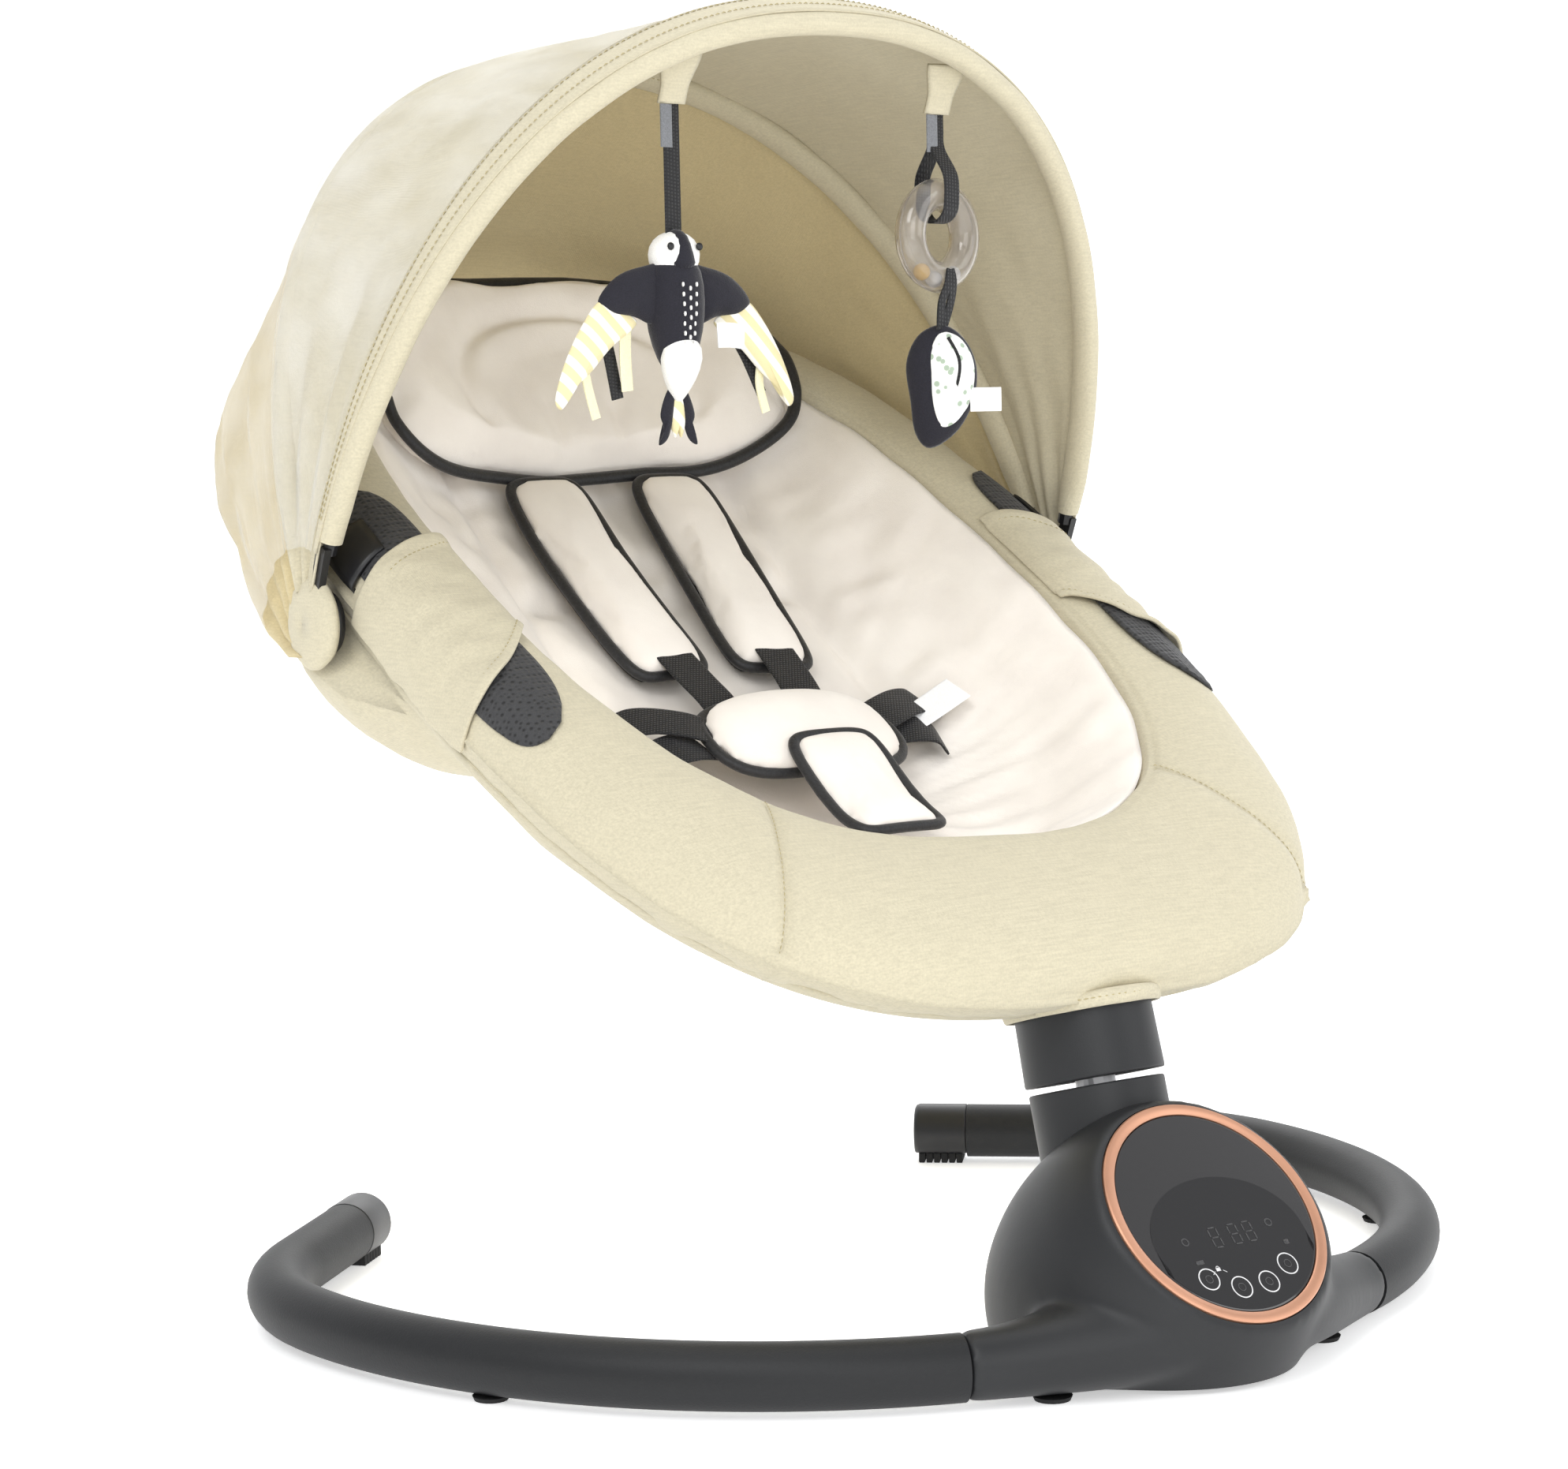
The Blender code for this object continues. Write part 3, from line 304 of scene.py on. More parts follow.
def woven(name, colour, turn, contrast=0.10):
    """Melange woven cloth: slubby threads both ways, with a fine plain weave."""
    look = Look(name, colour, 0.92, **{"Sheen Weight": 0.12, "Sheen Roughness": 0.5})
    warp = look.grain(900, 3.0, (1.0, 0.07, 1.0), turn)
    weft = look.grain(900, 3.0, (0.07, 1.0, 1.0), turn)
    threads = look.maths("MULTIPLY", look.maths("ADD", warp, weft), 0.5)
    cloud = look.grain(38, 3.0)
    mixed = look.ramp(threads, [(0.36, tint(colour, 1 - contrast)), (0.64, tint(colour, 1 + contrast))])
    look.paint(look.blend(look.maths("MULTIPLY", cloud, 0.30), mixed, tint(colour, 0.90)))
    ribs = look.maths("MULTIPLY", look.ribs(WEAVE_PERIOD, "X", turn), look.ribs(WEAVE_PERIOD, "Y", turn))
    look.bump(ribs, WEAVE_DEPTH * 0.5, 0.35)
    look.bump(threads, WEAVE_DEPTH, 0.45)
    look.bump(look.grain(60, 3.0), 0.0012, 0.30)
    return look


def velour(name, colour):
    """Short-pile velour: soft patches where the nap lies another way, and a fine pile."""
    look = Look(name, colour, 0.88, **{"Sheen Weight": 0.45, "Sheen Roughness": 0.35})
    look.set(**{"Sheen Tint": (1.0, 0.985, 0.965, 1.0)})
    nap = look.grain(26, 3.0, (1.0, 0.6, 1.0))
    pile = look.grain(2200, 2.0)
    base = look.ramp(nap, [(0.30, tint(colour, 0.93)), (0.70, tint(colour, 1.03))])
    look.paint(look.blend(look.maths("MULTIPLY", pile, 0.16), base, tint(colour, 0.80)))
    look.bump(look.grain(75, 3.0), 0.0016, 0.32)
    look.bump(pile, 0.0003, 0.5)
    return look


def black_tape(name):
    """Woven polyester tape: ribs across and slight lint."""
    look = Look(name, (0.010, 0.010, 0.011), 0.62, **{"Sheen Weight": 0.10, "Specular IOR Level": 0.35})
    ribs = look.maths("MULTIPLY", look.ribs(TAPE_PERIOD, "X", (0, 0, 0.6)),
            look.ribs(TAPE_PERIOD, "Z", (0.5, 0, 0.0)))
    look.paint(look.ramp(ribs, [(0.0, (0.006, 0.006, 0.007)), (1.0, (0.030, 0.030, 0.032))]))
    look.bump(ribs, TAPE_DEPTH, 0.8)
    return look


def air_mesh(name):
    """Black spacer mesh: rows of small round holes."""
    look = Look(name, (0.012, 0.012, 0.013), 0.70, **{"Sheen Weight": 0.1})
    cells = look.add("ShaderNodeTexVoronoi", [("Vector", look.mapped((1, 1, 1)))], Scale=330.0,
            Randomness=0.25)
    hole = cells.outputs["Distance"]
    look.paint(look.ramp(hole, [(0.18, (0.002, 0.002, 0.002)), (0.42, (0.035, 0.035, 0.037))]))
    look.bump(hole, 0.0012, 0.9)
    return look


def moulded(name, colour, roughness, grain_size=1400, depth=0.00006, **sockets):
    """Fine spark-eroded plastic, or powder coat, with faint handling marks."""
    look = Look(name, colour, roughness, **sockets)
    speck = look.grain(grain_size, 2.0)
    wear = look.grain(24, 4.0)
    look.paint(look.ramp(wear, [(0.30, tint(colour, 0.92)), (0.72, tint(colour, 1.10))]))
    look.rough(look.maths("ADD", look.maths("MULTIPLY", wear, 0.6), look.maths("MULTIPLY", speck, 0.4)),
            roughness - 0.06, roughness + 0.08)
    look.bump(speck, depth, 0.7)
    return look


def binding_look():
    """Black cotton tape folded over the pads' edges."""
    look = Look("binding", (0.008, 0.008, 0.009), 0.55, **{"Sheen Weight": 0.12})
    look.bump(look.grain(900, 2.0, (1.0, 0.2, 1.0)), 0.0004, 0.6)
    look.paint(look.ramp(look.grain(700, 2.0), [(0.3, (0.005, 0.005, 0.006)), (0.7, (0.016, 0.016, 0.018))]))
    return look.mat


def ink(name, colour, roughness, low, high):
    """Printed ink whose density varies a little, from low to high."""
    look = Look(name, colour, roughness)
    look.paint(look.ramp(look.grain(300), [(0.3, low), (0.7, high)]))
    return look.mat


SEAT_TURN = (-TILT, 0.0, 0.0)
LINEN_COLOUR = linear(199, 191, 166)
LINEN = woven("linen", LINEN_COLOUR, SEAT_TURN).mat
LINEN_CANOPY = woven("linen_canopy", LINEN_COLOUR, (0.25, 0, 0), 0.09).mat
# Painted light: a warmer, yellower copy of the canopy linen for the back panel, standing in for the warm
# light seen on its inside.
LINEN_WARM_LIT = woven("linen_back_warm_lit", linear(201, 186, 146), (0.25, 0, 0), 0.08).mat
VELOUR = velour("velour", linear(253, 246, 238)).mat
BINDING = binding_look()
TAPE = black_tape("webbing").mat
MESH = air_mesh("air_mesh").mat
HOUSING = moulded("housing_plastic", linear(32, 33, 35), 0.46, Specular_IOR_Level=0.4).mat
COAT = moulded("powder_coat", linear(25, 26, 28), 0.52, 900, 0.00016, Specular_IOR_Level=0.4).mat
BLACK_PLASTIC = moulded("black_plastic", linear(24, 24, 26), 0.38).mat
RUBBER = moulded("rubber", linear(22, 22, 23), 0.80, 700, 0.0001).mat
STEEL = moulded("bare_steel", (0.50, 0.50, 0.51), 0.34, 500, 0.00003, Metallic=1.0).mat
BRASS = moulded("gear_brass", (0.62, 0.45, 0.20), 0.36, 500, 0.00003, Metallic=1.0).mat
COPPER = moulded("copper_trim", linear(204, 152, 124), 0.34, 1200, 0.00002, Metallic=0.65).mat
BOARD = moulded("circuit_board", linear(20, 84, 50), 0.5).mat
THREAD = moulded("thread", linear(176, 164, 124), 0.8, 2500, 0.0001).mat
WHITE_INK = ink("white_ink", (0.75, 0.75, 0.76), 0.35, (0.66, 0.66, 0.67), (0.80, 0.80, 0.81))
GREY_INK = ink("grey_ink", (0.035, 0.035, 0.038), 0.30, (0.028, 0.028, 0.030), (0.045, 0.045, 0.048))


def glass_look(name, colour):
    """Glossy smoked cover with the faintest orange peel."""
    look = Look(name, colour, 0.07, **{"Coat Weight": 0.5, "Coat Roughness": 0.04})
    look.paint(look.ramp(look.grain(6, 2.0), [(0.3, tint(colour, 0.92)), (0.7, tint(colour, 1.08))]))
    look.bump(look.grain(60, 1.0), 0.00004, 0.2)
    return look.mat


GLASS = glass_look("panel_glass", linear(44, 43, 44))
GLASS_DARK = glass_look("panel_display", linear(22, 21, 23))


def netting_look():
    """Sheer white mosquito netting: mostly see-through, whiter where its folds gather."""
    look = Look("netting", linear(246, 245, 240), 0.65, **{"Alpha": 0.2})
    folds = look.grain(34, 4.0, (1.0, 0.30, 0.30))
    alpha = look.add("ShaderNodeMapRange", [("Value", folds)], **{"From Min": 0.34, "From Max": 0.70,
            "To Min": 0.05, "To Max": 0.26})
    look.tree.links.new(alpha.outputs[0], look.shader.inputs["Alpha"])
    look.paint(look.ramp(folds, [(0.3, linear(236, 235, 230)), (0.7, linear(250, 249, 246))]))
    look.bump(folds, 0.0010, 0.3)
    return look.mat


NETTING = netting_look()


def clear_look():
    look = Look("clear_plastic", linear(238, 234, 230), 0.06, **{"Transmission Weight": 0.92, "IOR": 1.45})
    look.paint(look.ramp(look.grain(40), [(0.3, linear(226, 222, 218)), (0.7, linear(246, 243, 240))]))
    look.bump(look.grain(120), 0.0001, 0.2)
    return look.mat


CLEAR = clear_look()


def plush_look(name, colour, fleck=0.10):
    look = Look(name, colour, 0.93, **{"Sheen Weight": 0.3, "Sheen Roughness": 0.4})
    pile = look.grain(1500, 3.0)
    look.paint(look.ramp(pile, [(0.3, tint(colour, 1 - fleck)), (0.7, tint(colour, 1 + fleck))]))
    look.bump(pile, 0.0004, 0.6)
    look.bump(look.grain(160, 2.0), 0.0008, 0.4)
    return look.mat


PLUSH_BLACK = plush_look("plush_black", linear(30, 29, 38), 0.25)
PLUSH_WHITE = plush_look("plush_white", linear(240, 239, 236))
RIBBON = plush_look("cream_ribbon", linear(238, 232, 196))
LABEL = plush_look("label_cloth", linear(246, 246, 246), 0.04)
GREY_CLOTH = plush_look("grey_velcro", linear(120, 122, 126), 0.2)
YELLOW_BEAD = moulded("yellow_bead", linear(240, 196, 84), 0.25).mat
PALE_BEAD = moulded("pale_bead", linear(214, 214, 214), 0.25).mat


def striped_look():
    """Cream cotton with broad soft stripes."""
    look = Look("striped_cotton", linear(240, 234, 208), 0.92, **{"Sheen Weight": 0.2})
    band = look.ribs(0.0090, "X", (0, 0.75, 0))
    wave = look.ramp(band, [(0.45, linear(226, 214, 168)), (0.62, linear(246, 243, 232))])
    look.paint(wave)
    look.bump(look.grain(1300, 3.0), 0.0003, 0.5)
    return look.mat


STRIPED = striped_look()


def dotted_look():
    """White cotton with small grey-green spots."""
    look = Look("dotted_cotton", linear(240, 240, 236), 0.92, **{"Sheen Weight": 0.2})
    cells = look.add("ShaderNodeTexVoronoi", [("Vector", look.place)], Scale=190.0, Randomness=0.9)
    spot = look.ramp(cells.outputs["Distance"], [(0.26, linear(168, 184, 164)),
            (0.34, linear(241, 241, 237))])
    look.paint(spot)
    look.bump(look.grain(1300, 3.0), 0.0003, 0.5)
    return look.mat


DOTTED = dotted_look()


# ---------------------------------------------------------------- mesh helpers
def new_mesh(name, verts, faces, mat, angle=None):
    mesh = bpy.data.meshes.new(name)
    mesh.from_pydata([tuple(v) for v in verts], [], faces)
    bm = bmesh.new()
    bm.from_mesh(mesh)
    bmesh.ops.recalc_face_normals(bm, faces=bm.faces)
    bm.to_mesh(mesh)
    bm.free()
    mesh.shade_smooth()
    if angle:
        mesh.set_sharp_from_angle(angle=math.radians(angle))
    obj = bpy.data.objects.new(name, mesh)
    obj.data.materials.append(mat)
    bpy.context.scene.collection.objects.link(obj)
    return obj


def skin(name, rings, mat, around=True, along=False, caps=False, angle=None):
    """Quads between rows of points; around closes each row, along joins the last row to the first."""
    count = len(rings[0])
    verts = [p for ring in rings for p in ring]
    faces = []
    for i in range(len(rings) if along else len(rings) - 1):
        a, b = i * count, ((i + 1) % len(rings)) * count
        for j in range(count if around else count - 1):
            k = (j + 1) % count
            faces.append((a + j, a + k, b + k, b + j))
    if caps:
        faces.append(tuple(range(count)))
        faces.append(tuple(range((len(rings) - 1) * count, len(rings) * count)))
    return new_mesh(name, verts, faces, mat, angle)


def finish_mesh(obj):
    """Bake an object's modifiers into its mesh."""
    depsgraph = bpy.context.evaluated_depsgraph_get()
    mesh = bpy.data.meshes.new_from_object(obj.evaluated_get(depsgraph))
    obj.modifiers.clear()
    obj.data = mesh
    return obj


def thicken(obj, thick, offset=-1.0):
    mod = obj.modifiers.new("thickness", "SOLIDIFY")
    mod.thickness = thick
    mod.offset = offset
    return finish_mesh(obj)


def soften(obj, levels=1):
    mod = obj.modifiers.new("soften", "SUBSURF")
    mod.levels = levels
    mod.render_levels = levels
    return finish_mesh(obj)


def curve_through(points, count, closed=False):
    """Count points of a Catmull-Rom curve through the given ones."""
    pts = [Vector(p) for p in points]
    spans = len(pts) if closed else len(pts) - 1
    out = []
    for k in range(count):
        u = spans * k / (count if closed else count - 1)
        i = min(int(u), spans - 1)
        f = u - i
        if closed:
            p = [pts[(i + d) % len(pts)] for d in (-1, 0, 1, 2)]
        else:
            p = [pts[min(max(i + d, 0), len(pts) - 1)] for d in (-1, 0, 1, 2)]
        out.append(0.5 * ((2 * p[1]) + (p[2] - p[0]) * f + (2 * p[0] - 5 * p[1] + 4 * p[2] - p[3]) * f * f
                + (3 * p[1] - p[0] - 3 * p[2] + p[3]) * f ** 3))
    return out


def sweep(name, points, ups, half_w, half_t, mat, closed=False, count=12, power=2.0):
    """An oval section, half_w across and half_t thick, along points; ups point out of the surface."""
    rings = []
    last = len(points) - 1
    for i, p in enumerate(points):
        before = points[i - 1] if closed else points[max(i - 1, 0)]
        after = points[(i + 1) % len(points)] if closed else points[min(i + 1, last)]
        along = (after - before).normalized()
        up = (ups[i] - along * ups[i].dot(along)).normalized()
        side = along.cross(up)
        w = half_w(i / last) if callable(half_w) else half_w
        ring = []
        for a in turns(count):
            ring.append(p + side * (w * squared(math.cos(a), power))
                    + up * (half_t * squared(math.sin(a), power)))
        rings.append(ring)
    return skin(name, rings, mat, along=closed, caps=not closed, angle=60)


def stitches(name, points, ups, mat, pitch=0.0036, length=0.0024, width=0.00045):
    """A run of sewn stitches: small rounded dashes lying on the surface along points."""
    verts, faces = [], []
    run = [0.0]
    for a, b in zip(points, points[1:]):
        run.append(run[-1] + (b - a).length)
    count = int(run[-1] / pitch)
    xs = np.array([tuple(p) for p in points])
    us = np.array([tuple(u) for u in ups])
    for k in range(count):
        mid = (k + 0.5) * pitch
        ends = []
        for place in (mid - length / 2, mid, mid + length / 2):
            ends.append(Vector([float(np.interp(place, run, xs[:, d])) for d in range(3)]))
        up = Vector([float(np.interp(mid, run, us[:, d])) for d in range(3)]).normalized()
        along = (ends[2] - ends[0]).normalized()
        side = along.cross(up).normalized()
        base = len(verts)
        for p, w, lift in ((ends[0], 0.35, -0.4), (ends[1], 1.0, 0.7), (ends[2], 0.35, -0.4)):
            centre = p + up * (width * lift)
            for c, s in ((-1, 0), (0, 1), (1, 0), (0, -1)):
                verts.append(centre + side * (c * width * w) + up * (s * width * w))
        for ring in (0, 4):
            for j in range(4):
                m = (j + 1) % 4
                faces.append((base + ring + j, base + ring + m, base + ring + 4 + m, base + ring + 4 + j))
        faces.append((base, base + 1, base + 2, base + 3))
        faces.append((base + 8, base + 9, base + 10, base + 11))
    return new_mesh(name, verts, faces, mat)


def join(name, objects):
    """One object of several that share a body, keeping each material."""
    bpy.ops.object.select_all(action="DESELECT")
    for obj in objects:
        obj.select_set(True)
    bpy.context.view_layer.objects.active = objects[0]
    bpy.ops.object.join()
    objects[0].name = name
    objects[0].data.name = name
    return objects[0]


def place(obj, body, slot=None, *nodes):
    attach(obj, body)
    if nodes:
        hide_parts(*nodes)
    return obj


def puffed(obj, cap, voxel):
    """Inflate a closed pad by cloth simulation, with every point's move capped, and smooth it."""
    remesh = obj.modifiers.new("even", "REMESH")
    remesh.mode = "VOXEL"
    remesh.voxel_size = voxel
    remesh.use_smooth_shade = True
    finish_mesh(obj)
    rest = np.array([v.co for v in obj.data.vertices])
    cloth = obj.modifiers.new("air", "CLOTH")
    cloth.settings.use_pressure = True
    cloth.settings.uniform_pressure_force = CLOTH_PRESSURE
    cloth.settings.effector_weights.gravity = 0.0
    cloth.settings.quality = 4
    cloth.settings.tension_stiffness = CLOTH_STIFFNESS
    cloth.settings.compression_stiffness = CLOTH_STIFFNESS
    cloth.settings.shear_stiffness = CLOTH_STIFFNESS / 2
    cloth.point_cache.frame_start = 1
    cloth.point_cache.frame_end = CLOTH_FRAMES
    scene = bpy.context.scene
    for number in range(1, CLOTH_FRAMES + 1):
        scene.frame_set(number)
    finish_mesh(obj)
    scene.frame_set(1)
    now = np.array([v.co for v in obj.data.vertices])
    move = now - rest
    length = np.linalg.norm(move, axis=1, keepdims=True)
    capped = rest + move * np.minimum(1.0, cap / np.maximum(length, 1e-9))
    obj.data.vertices.foreach_set("co", capped.astype(np.float32).ravel())
    obj.data.update()
    obj.data.shade_smooth()
    return soften(obj)


# ---------------------------------------------------------------- camera, floor and light
CAMERA_TURN = -35.0
CAMERA_RISE = 5.0
CAMERA_ROLL = -1.2
CAMERA_AT = Vector((-1.104, -1.5 + FRAME_Y, 0.4518))
CAMERA_LENS = 81.5
WORLD_STRENGTH = 0.62
FLOOR_GLOW = 0.48
# name, place, size in metres, and power in watts; each points at the middle of the seat, 0.3 m up
LIGHTS = (("key", (-2.2, -1.4, 2.6), 1.6, 40.0), ("fill", (1.8, -2.4, 1.5), 1.8, 18.0),
        ("top", (0.2, 0.4, 2.9), 2.0, 22.0), ("front", (-0.9, -2.5, 1.1), 1.6, 17.0),
        ("rim_light", (1.6, 1.8, 1.8), 1.4, 10.0))


def build_stage():
    az, el, roll = (math.radians(a) for a in (CAMERA_TURN, CAMERA_RISE, CAMERA_ROLL))
    forward = Vector((-math.sin(az) * math.cos(el), math.cos(az) * math.cos(el), -math.sin(el)))
    flat_right = forward.cross(Z_AXIS).normalized()
    flat_up = flat_right.cross(forward)
    right = flat_right * math.cos(roll) + flat_up * math.sin(roll)
    up = flat_up * math.cos(roll) - flat_right * math.sin(roll)
    lens = bpy.data.cameras.new("camera")
    lens.sensor_width = 36.0
    lens.lens = CAMERA_LENS
    camera = bpy.data.objects.new("camera", lens)
    camera.matrix_world = Matrix.Translation(CAMERA_AT) @ Matrix((right, up, -forward)).transposed().to_4x4()
    bpy.context.scene.collection.objects.link(camera)
    bpy.context.scene.camera = camera

    floor_look = Look("floor", (0.93, 0.93, 0.93), 0.55, **{"Emission Color": (1.0, 1.0, 1.0, 1.0)})
    floor_look.set(**{"Emission Strength": FLOOR_GLOW})
    floor_look.paint(floor_look.ramp(floor_look.grain(3), [(0.3, (0.92, 0.92, 0.92)),
            (0.7, (0.95, 0.95, 0.95))]))
    bend = [(12.0, 0.0)]
    for k in range(9):
        a = math.pi / 2 * k / 8
        bend.append((-(3.0 + 1.5 * math.sin(a)), 1.5 - 1.5 * math.cos(a)))
    bend.append((-4.5, 9.0))
    facing = Vector((forward.x, forward.y, 0)).normalized()
    rows = [[flat_right * x - facing * y + Z_AXIS * z for x in (-14.0, 14.0)] for y, z in bend]
    skin("floor", rows, floor_look.mat, around=False)

    world = bpy.data.worlds.new("studio")
    bpy.context.scene.world = world
    world.use_nodes = True
    world.node_tree.nodes["Background"].inputs["Color"].default_value = (0.97, 0.985, 1.0, 1.0)
    world.node_tree.nodes["Background"].inputs["Strength"].default_value = WORLD_STRENGTH
    for name, at, size, energy in LIGHTS:
        lamp = bpy.data.lights.new(name, "AREA")
        lamp.size = size
        lamp.energy = energy
        obj = bpy.data.objects.new(name, lamp)
        obj.location = at
        obj.rotation_euler = (Vector((0, 0, 0.3)) - Vector(at)).to_track_quat("-Z", "Y").to_euler()
        bpy.context.scene.collection.objects.link(obj)
    bpy.context.scene.view_settings.view_transform = "Standard"


# ---------------------------------------------------------------- base
def leg_path(side, step=0.010):
    """Points and headings of a leg's centre line, from the housing to the cap."""
    x, y = LEG_START
    heading = math.radians(LEG_HEADING)
    out = [(x, y, heading)]
    for radius, degrees in (LEG_ARC, LEG_BEND):
        count = int(radius * math.radians(degrees) / step)
        turn = math.radians(degrees) / count
        for _ in range(count):
            x += radius * (math.sin(heading + turn) - math.sin(heading))
            y += radius * (math.cos(heading) - math.cos(heading + turn))
            heading += turn
            out.append((x, y, heading))
    out.append((x + LEG_END * math.cos(heading), y + LEG_END * math.sin(heading), heading))
    return [(side * px, py + FRAME_Y, h if side > 0 else math.pi - h) for px, py, h in out]


def build_leg(side, label):
    rings = []
    path = leg_path(side)
    for x, y, heading in path:
        across = Vector((-math.sin(heading), math.cos(heading), 0))
        rings.append(ring_of(Vector((x, y, TUBE_Z)), across, Z_AXIS, TUBE_R, TUBE_R, TUBE_SIDES))
    tube = skin("leg_%s" % label, rings, COAT, caps=True, angle=50)
    place(tube, "base", "charcoal", "leg_tube_" + label)

    x, y, heading = path[-1]
    along = Vector((math.cos(heading), math.sin(heading), 0))
    across = Vector((-math.sin(heading), math.cos(heading), 0))
    rings = []
    radius = TUBE_R + CAP_GAP
    for u, r in ((0.0003, radius - 0.0006), (0.0009, radius), (0.029, radius), (0.0311, radius - 0.0008),
            (0.0320, radius - 0.0024)):
        ring = []
        for a in turns(TUBE_SIDES):
            z = max(TUBE_Z + r * math.sin(a), 0.0062)
            ring.append(Vector((x, y, 0)) + along * u + across * (r * math.cos(a)) + Z_AXIS * z)
        rings.append(ring)
    cap = skin("cap_%s" % label, rings, BLACK_PLASTIC, caps=True, angle=40)
    place(cap, "base", "charcoal_plastic", "leg_cap_" + label)
    pads = []
    for k in range(PAD_RIBS):
        centre = Vector((x, y, 0)) + along * (RIB_START + RIB_PITCH * k)
        rings = []
        for z, half in ((0.0002, 0.0016), (0.0010, 0.0019), (0.0060, 0.0019)):
            rings.append([centre + along * (half * s) + across * (0.0098 * c) + Z_AXIS * z for c,
                    s in ((-1, -1), (1, -1), (1, 1), (-1, 1))])
        pads.append(skin("pad_rib", rings, RUBBER, caps=True, angle=30))
    place(join("pad_%s" % label, pads), "base", "rubber", "cap_pad_" + label)


def build_housing():
    """The housing as one smooth skin: the egg behind the panel runs into the two stub arms."""
    side = X_AXIS
    other = PANEL_NORMAL.cross(side).normalized()
    profile = curve_through([Vector((d, r, 0)) for d, r in EGG_PROFILE], 26)
    rings = [ring_of(PANEL_CENTRE - PANEL_NORMAL * p.x, side, other, p.y, p.y, 64) for p in profile]
    egg = skin("housing", rings, HOUSING, caps=True)
    rings = []
    stations = 41
    for i in range(stations):
        p = -1 + 2 * i / (stations - 1)
        m = 1 - smoothstep(abs(p))
        half_y = TUBE_R + 0.0005 + ARM_GROWTH[0] * m
        half_z = TUBE_R + 0.0005 + ARM_GROWTH[1] * m
        centre_y = LEG_START[1] - APRON_FORWARD * (1 - p * p) + FRAME_Y
        heading = math.radians(LEG_HEADING) * p
        across = Vector((-math.sin(heading), math.cos(heading), 0))
        centre = Vector((LEG_START[0] * p, centre_y, 0.0025 + half_z))
        rings.append(ring_of(centre, across, Z_AXIS, half_y, half_z, 32))
    arms = skin("arms", rings, HOUSING, caps=True)
    union(egg, arms, "UNION")
    remesh = egg.modifiers.new("even", "REMESH")
    remesh.mode = "VOXEL"
    remesh.voxel_size = HOUSING_VOXEL
    smooth = egg.modifiers.new("fillet", "SMOOTH")
    smooth.factor = 0.5
    smooth.iterations = HOUSING_SMOOTHING
    finish_mesh(egg)
    cuts = []
    for name, low, high, r, origin, axis in (("opening", -0.0040, 0.02, PANEL_R + 0.0004, PANEL_CENTRE,
            PANEL_NORMAL), ("socket", -0.060, 0.03, SLEEVE_R + 0.0004, SWING_BASE, SWING_AXIS)):
        cuts.append(turned(name, ((low, r), (high, r)), origin, axis, HOUSING, 96))
    floor_cut = skin("floor_cut", [[Vector((x, y, z)) for x, y in ((-0.4, -0.6), (0.4, -0.6), (0.4, 0.3),
            (-0.4, 0.3))] for z in (-0.2, 0.0028)], HOUSING, caps=True)
    for cutter in (*cuts, floor_cut):
        union(egg, cutter, "DIFFERENCE")
    egg.data.shade_smooth()
    egg.data.set_sharp_from_angle(angle=math.radians(38))
    place(egg, "base", "charcoal_plastic", "housing_shell")


def union(obj, other, operation):
    mod = obj.modifiers.new("cut", "BOOLEAN")
    mod.operation = operation
    mod.solver = "EXACT"
    mod.object = other
    finish_mesh(obj)
    bpy.data.objects.remove(other)


def turned(name, profile, origin, axis, mat, count=64, closed=False, angle=40, side=X_AXIS):
    """A body of revolution: profile of (height, radius) along axis from origin."""
    axis = Vector(axis).normalized()
    other = axis.cross(side).normalized()
    rings = [ring_of(Vector(origin) + axis * h, side, other, r, r, count) for h, r in profile]
    return skin(name, rings, mat, along=closed, caps=not closed, angle=angle)


def panel_point(x, v, lift=0.0):
    """A point on the panel: x to its right, v up its face, in metres."""
    up = Vector((0, math.sin(FACE), math.cos(FACE)))
    return PANEL_CENTRE + X_AXIS * x + up * v + PANEL_NORMAL * lift


def flat_ring(name, x, v, outer, inner, lift, mat, count=40, start=0.0, sweep_angle=360.0, thick=0.00012):
    rings = []
    whole = sweep_angle >= 360.0
    steps = count if whole else count + 1
    for k in range(steps):
        a = math.radians(start + sweep_angle * k / count)
        c, s = math.cos(a), math.sin(a)
        rings.append([panel_point(x + r * c, v + r * s, z) for r, z in ((inner, lift), (outer, lift),
                (outer, lift + thick), (inner, lift + thick))])
    return skin(name, rings, mat, along=whole, caps=not whole)


def flat_bar(name, a, b, width, lift, mat, thick=0.00012):
    """A thin printed bar on the panel from a to b."""
    ax, bx = Vector(a), Vector(b)
    along = (bx - ax).normalized()
    side = Vector((-along.y, along.x)) * width / 2
    corners = (ax - side, bx - side, bx + side, ax + side)
    return skin(name, [[panel_point(p.x, p.y, z) for p in corners] for z in (lift, lift + thick)], mat,
            caps=True)


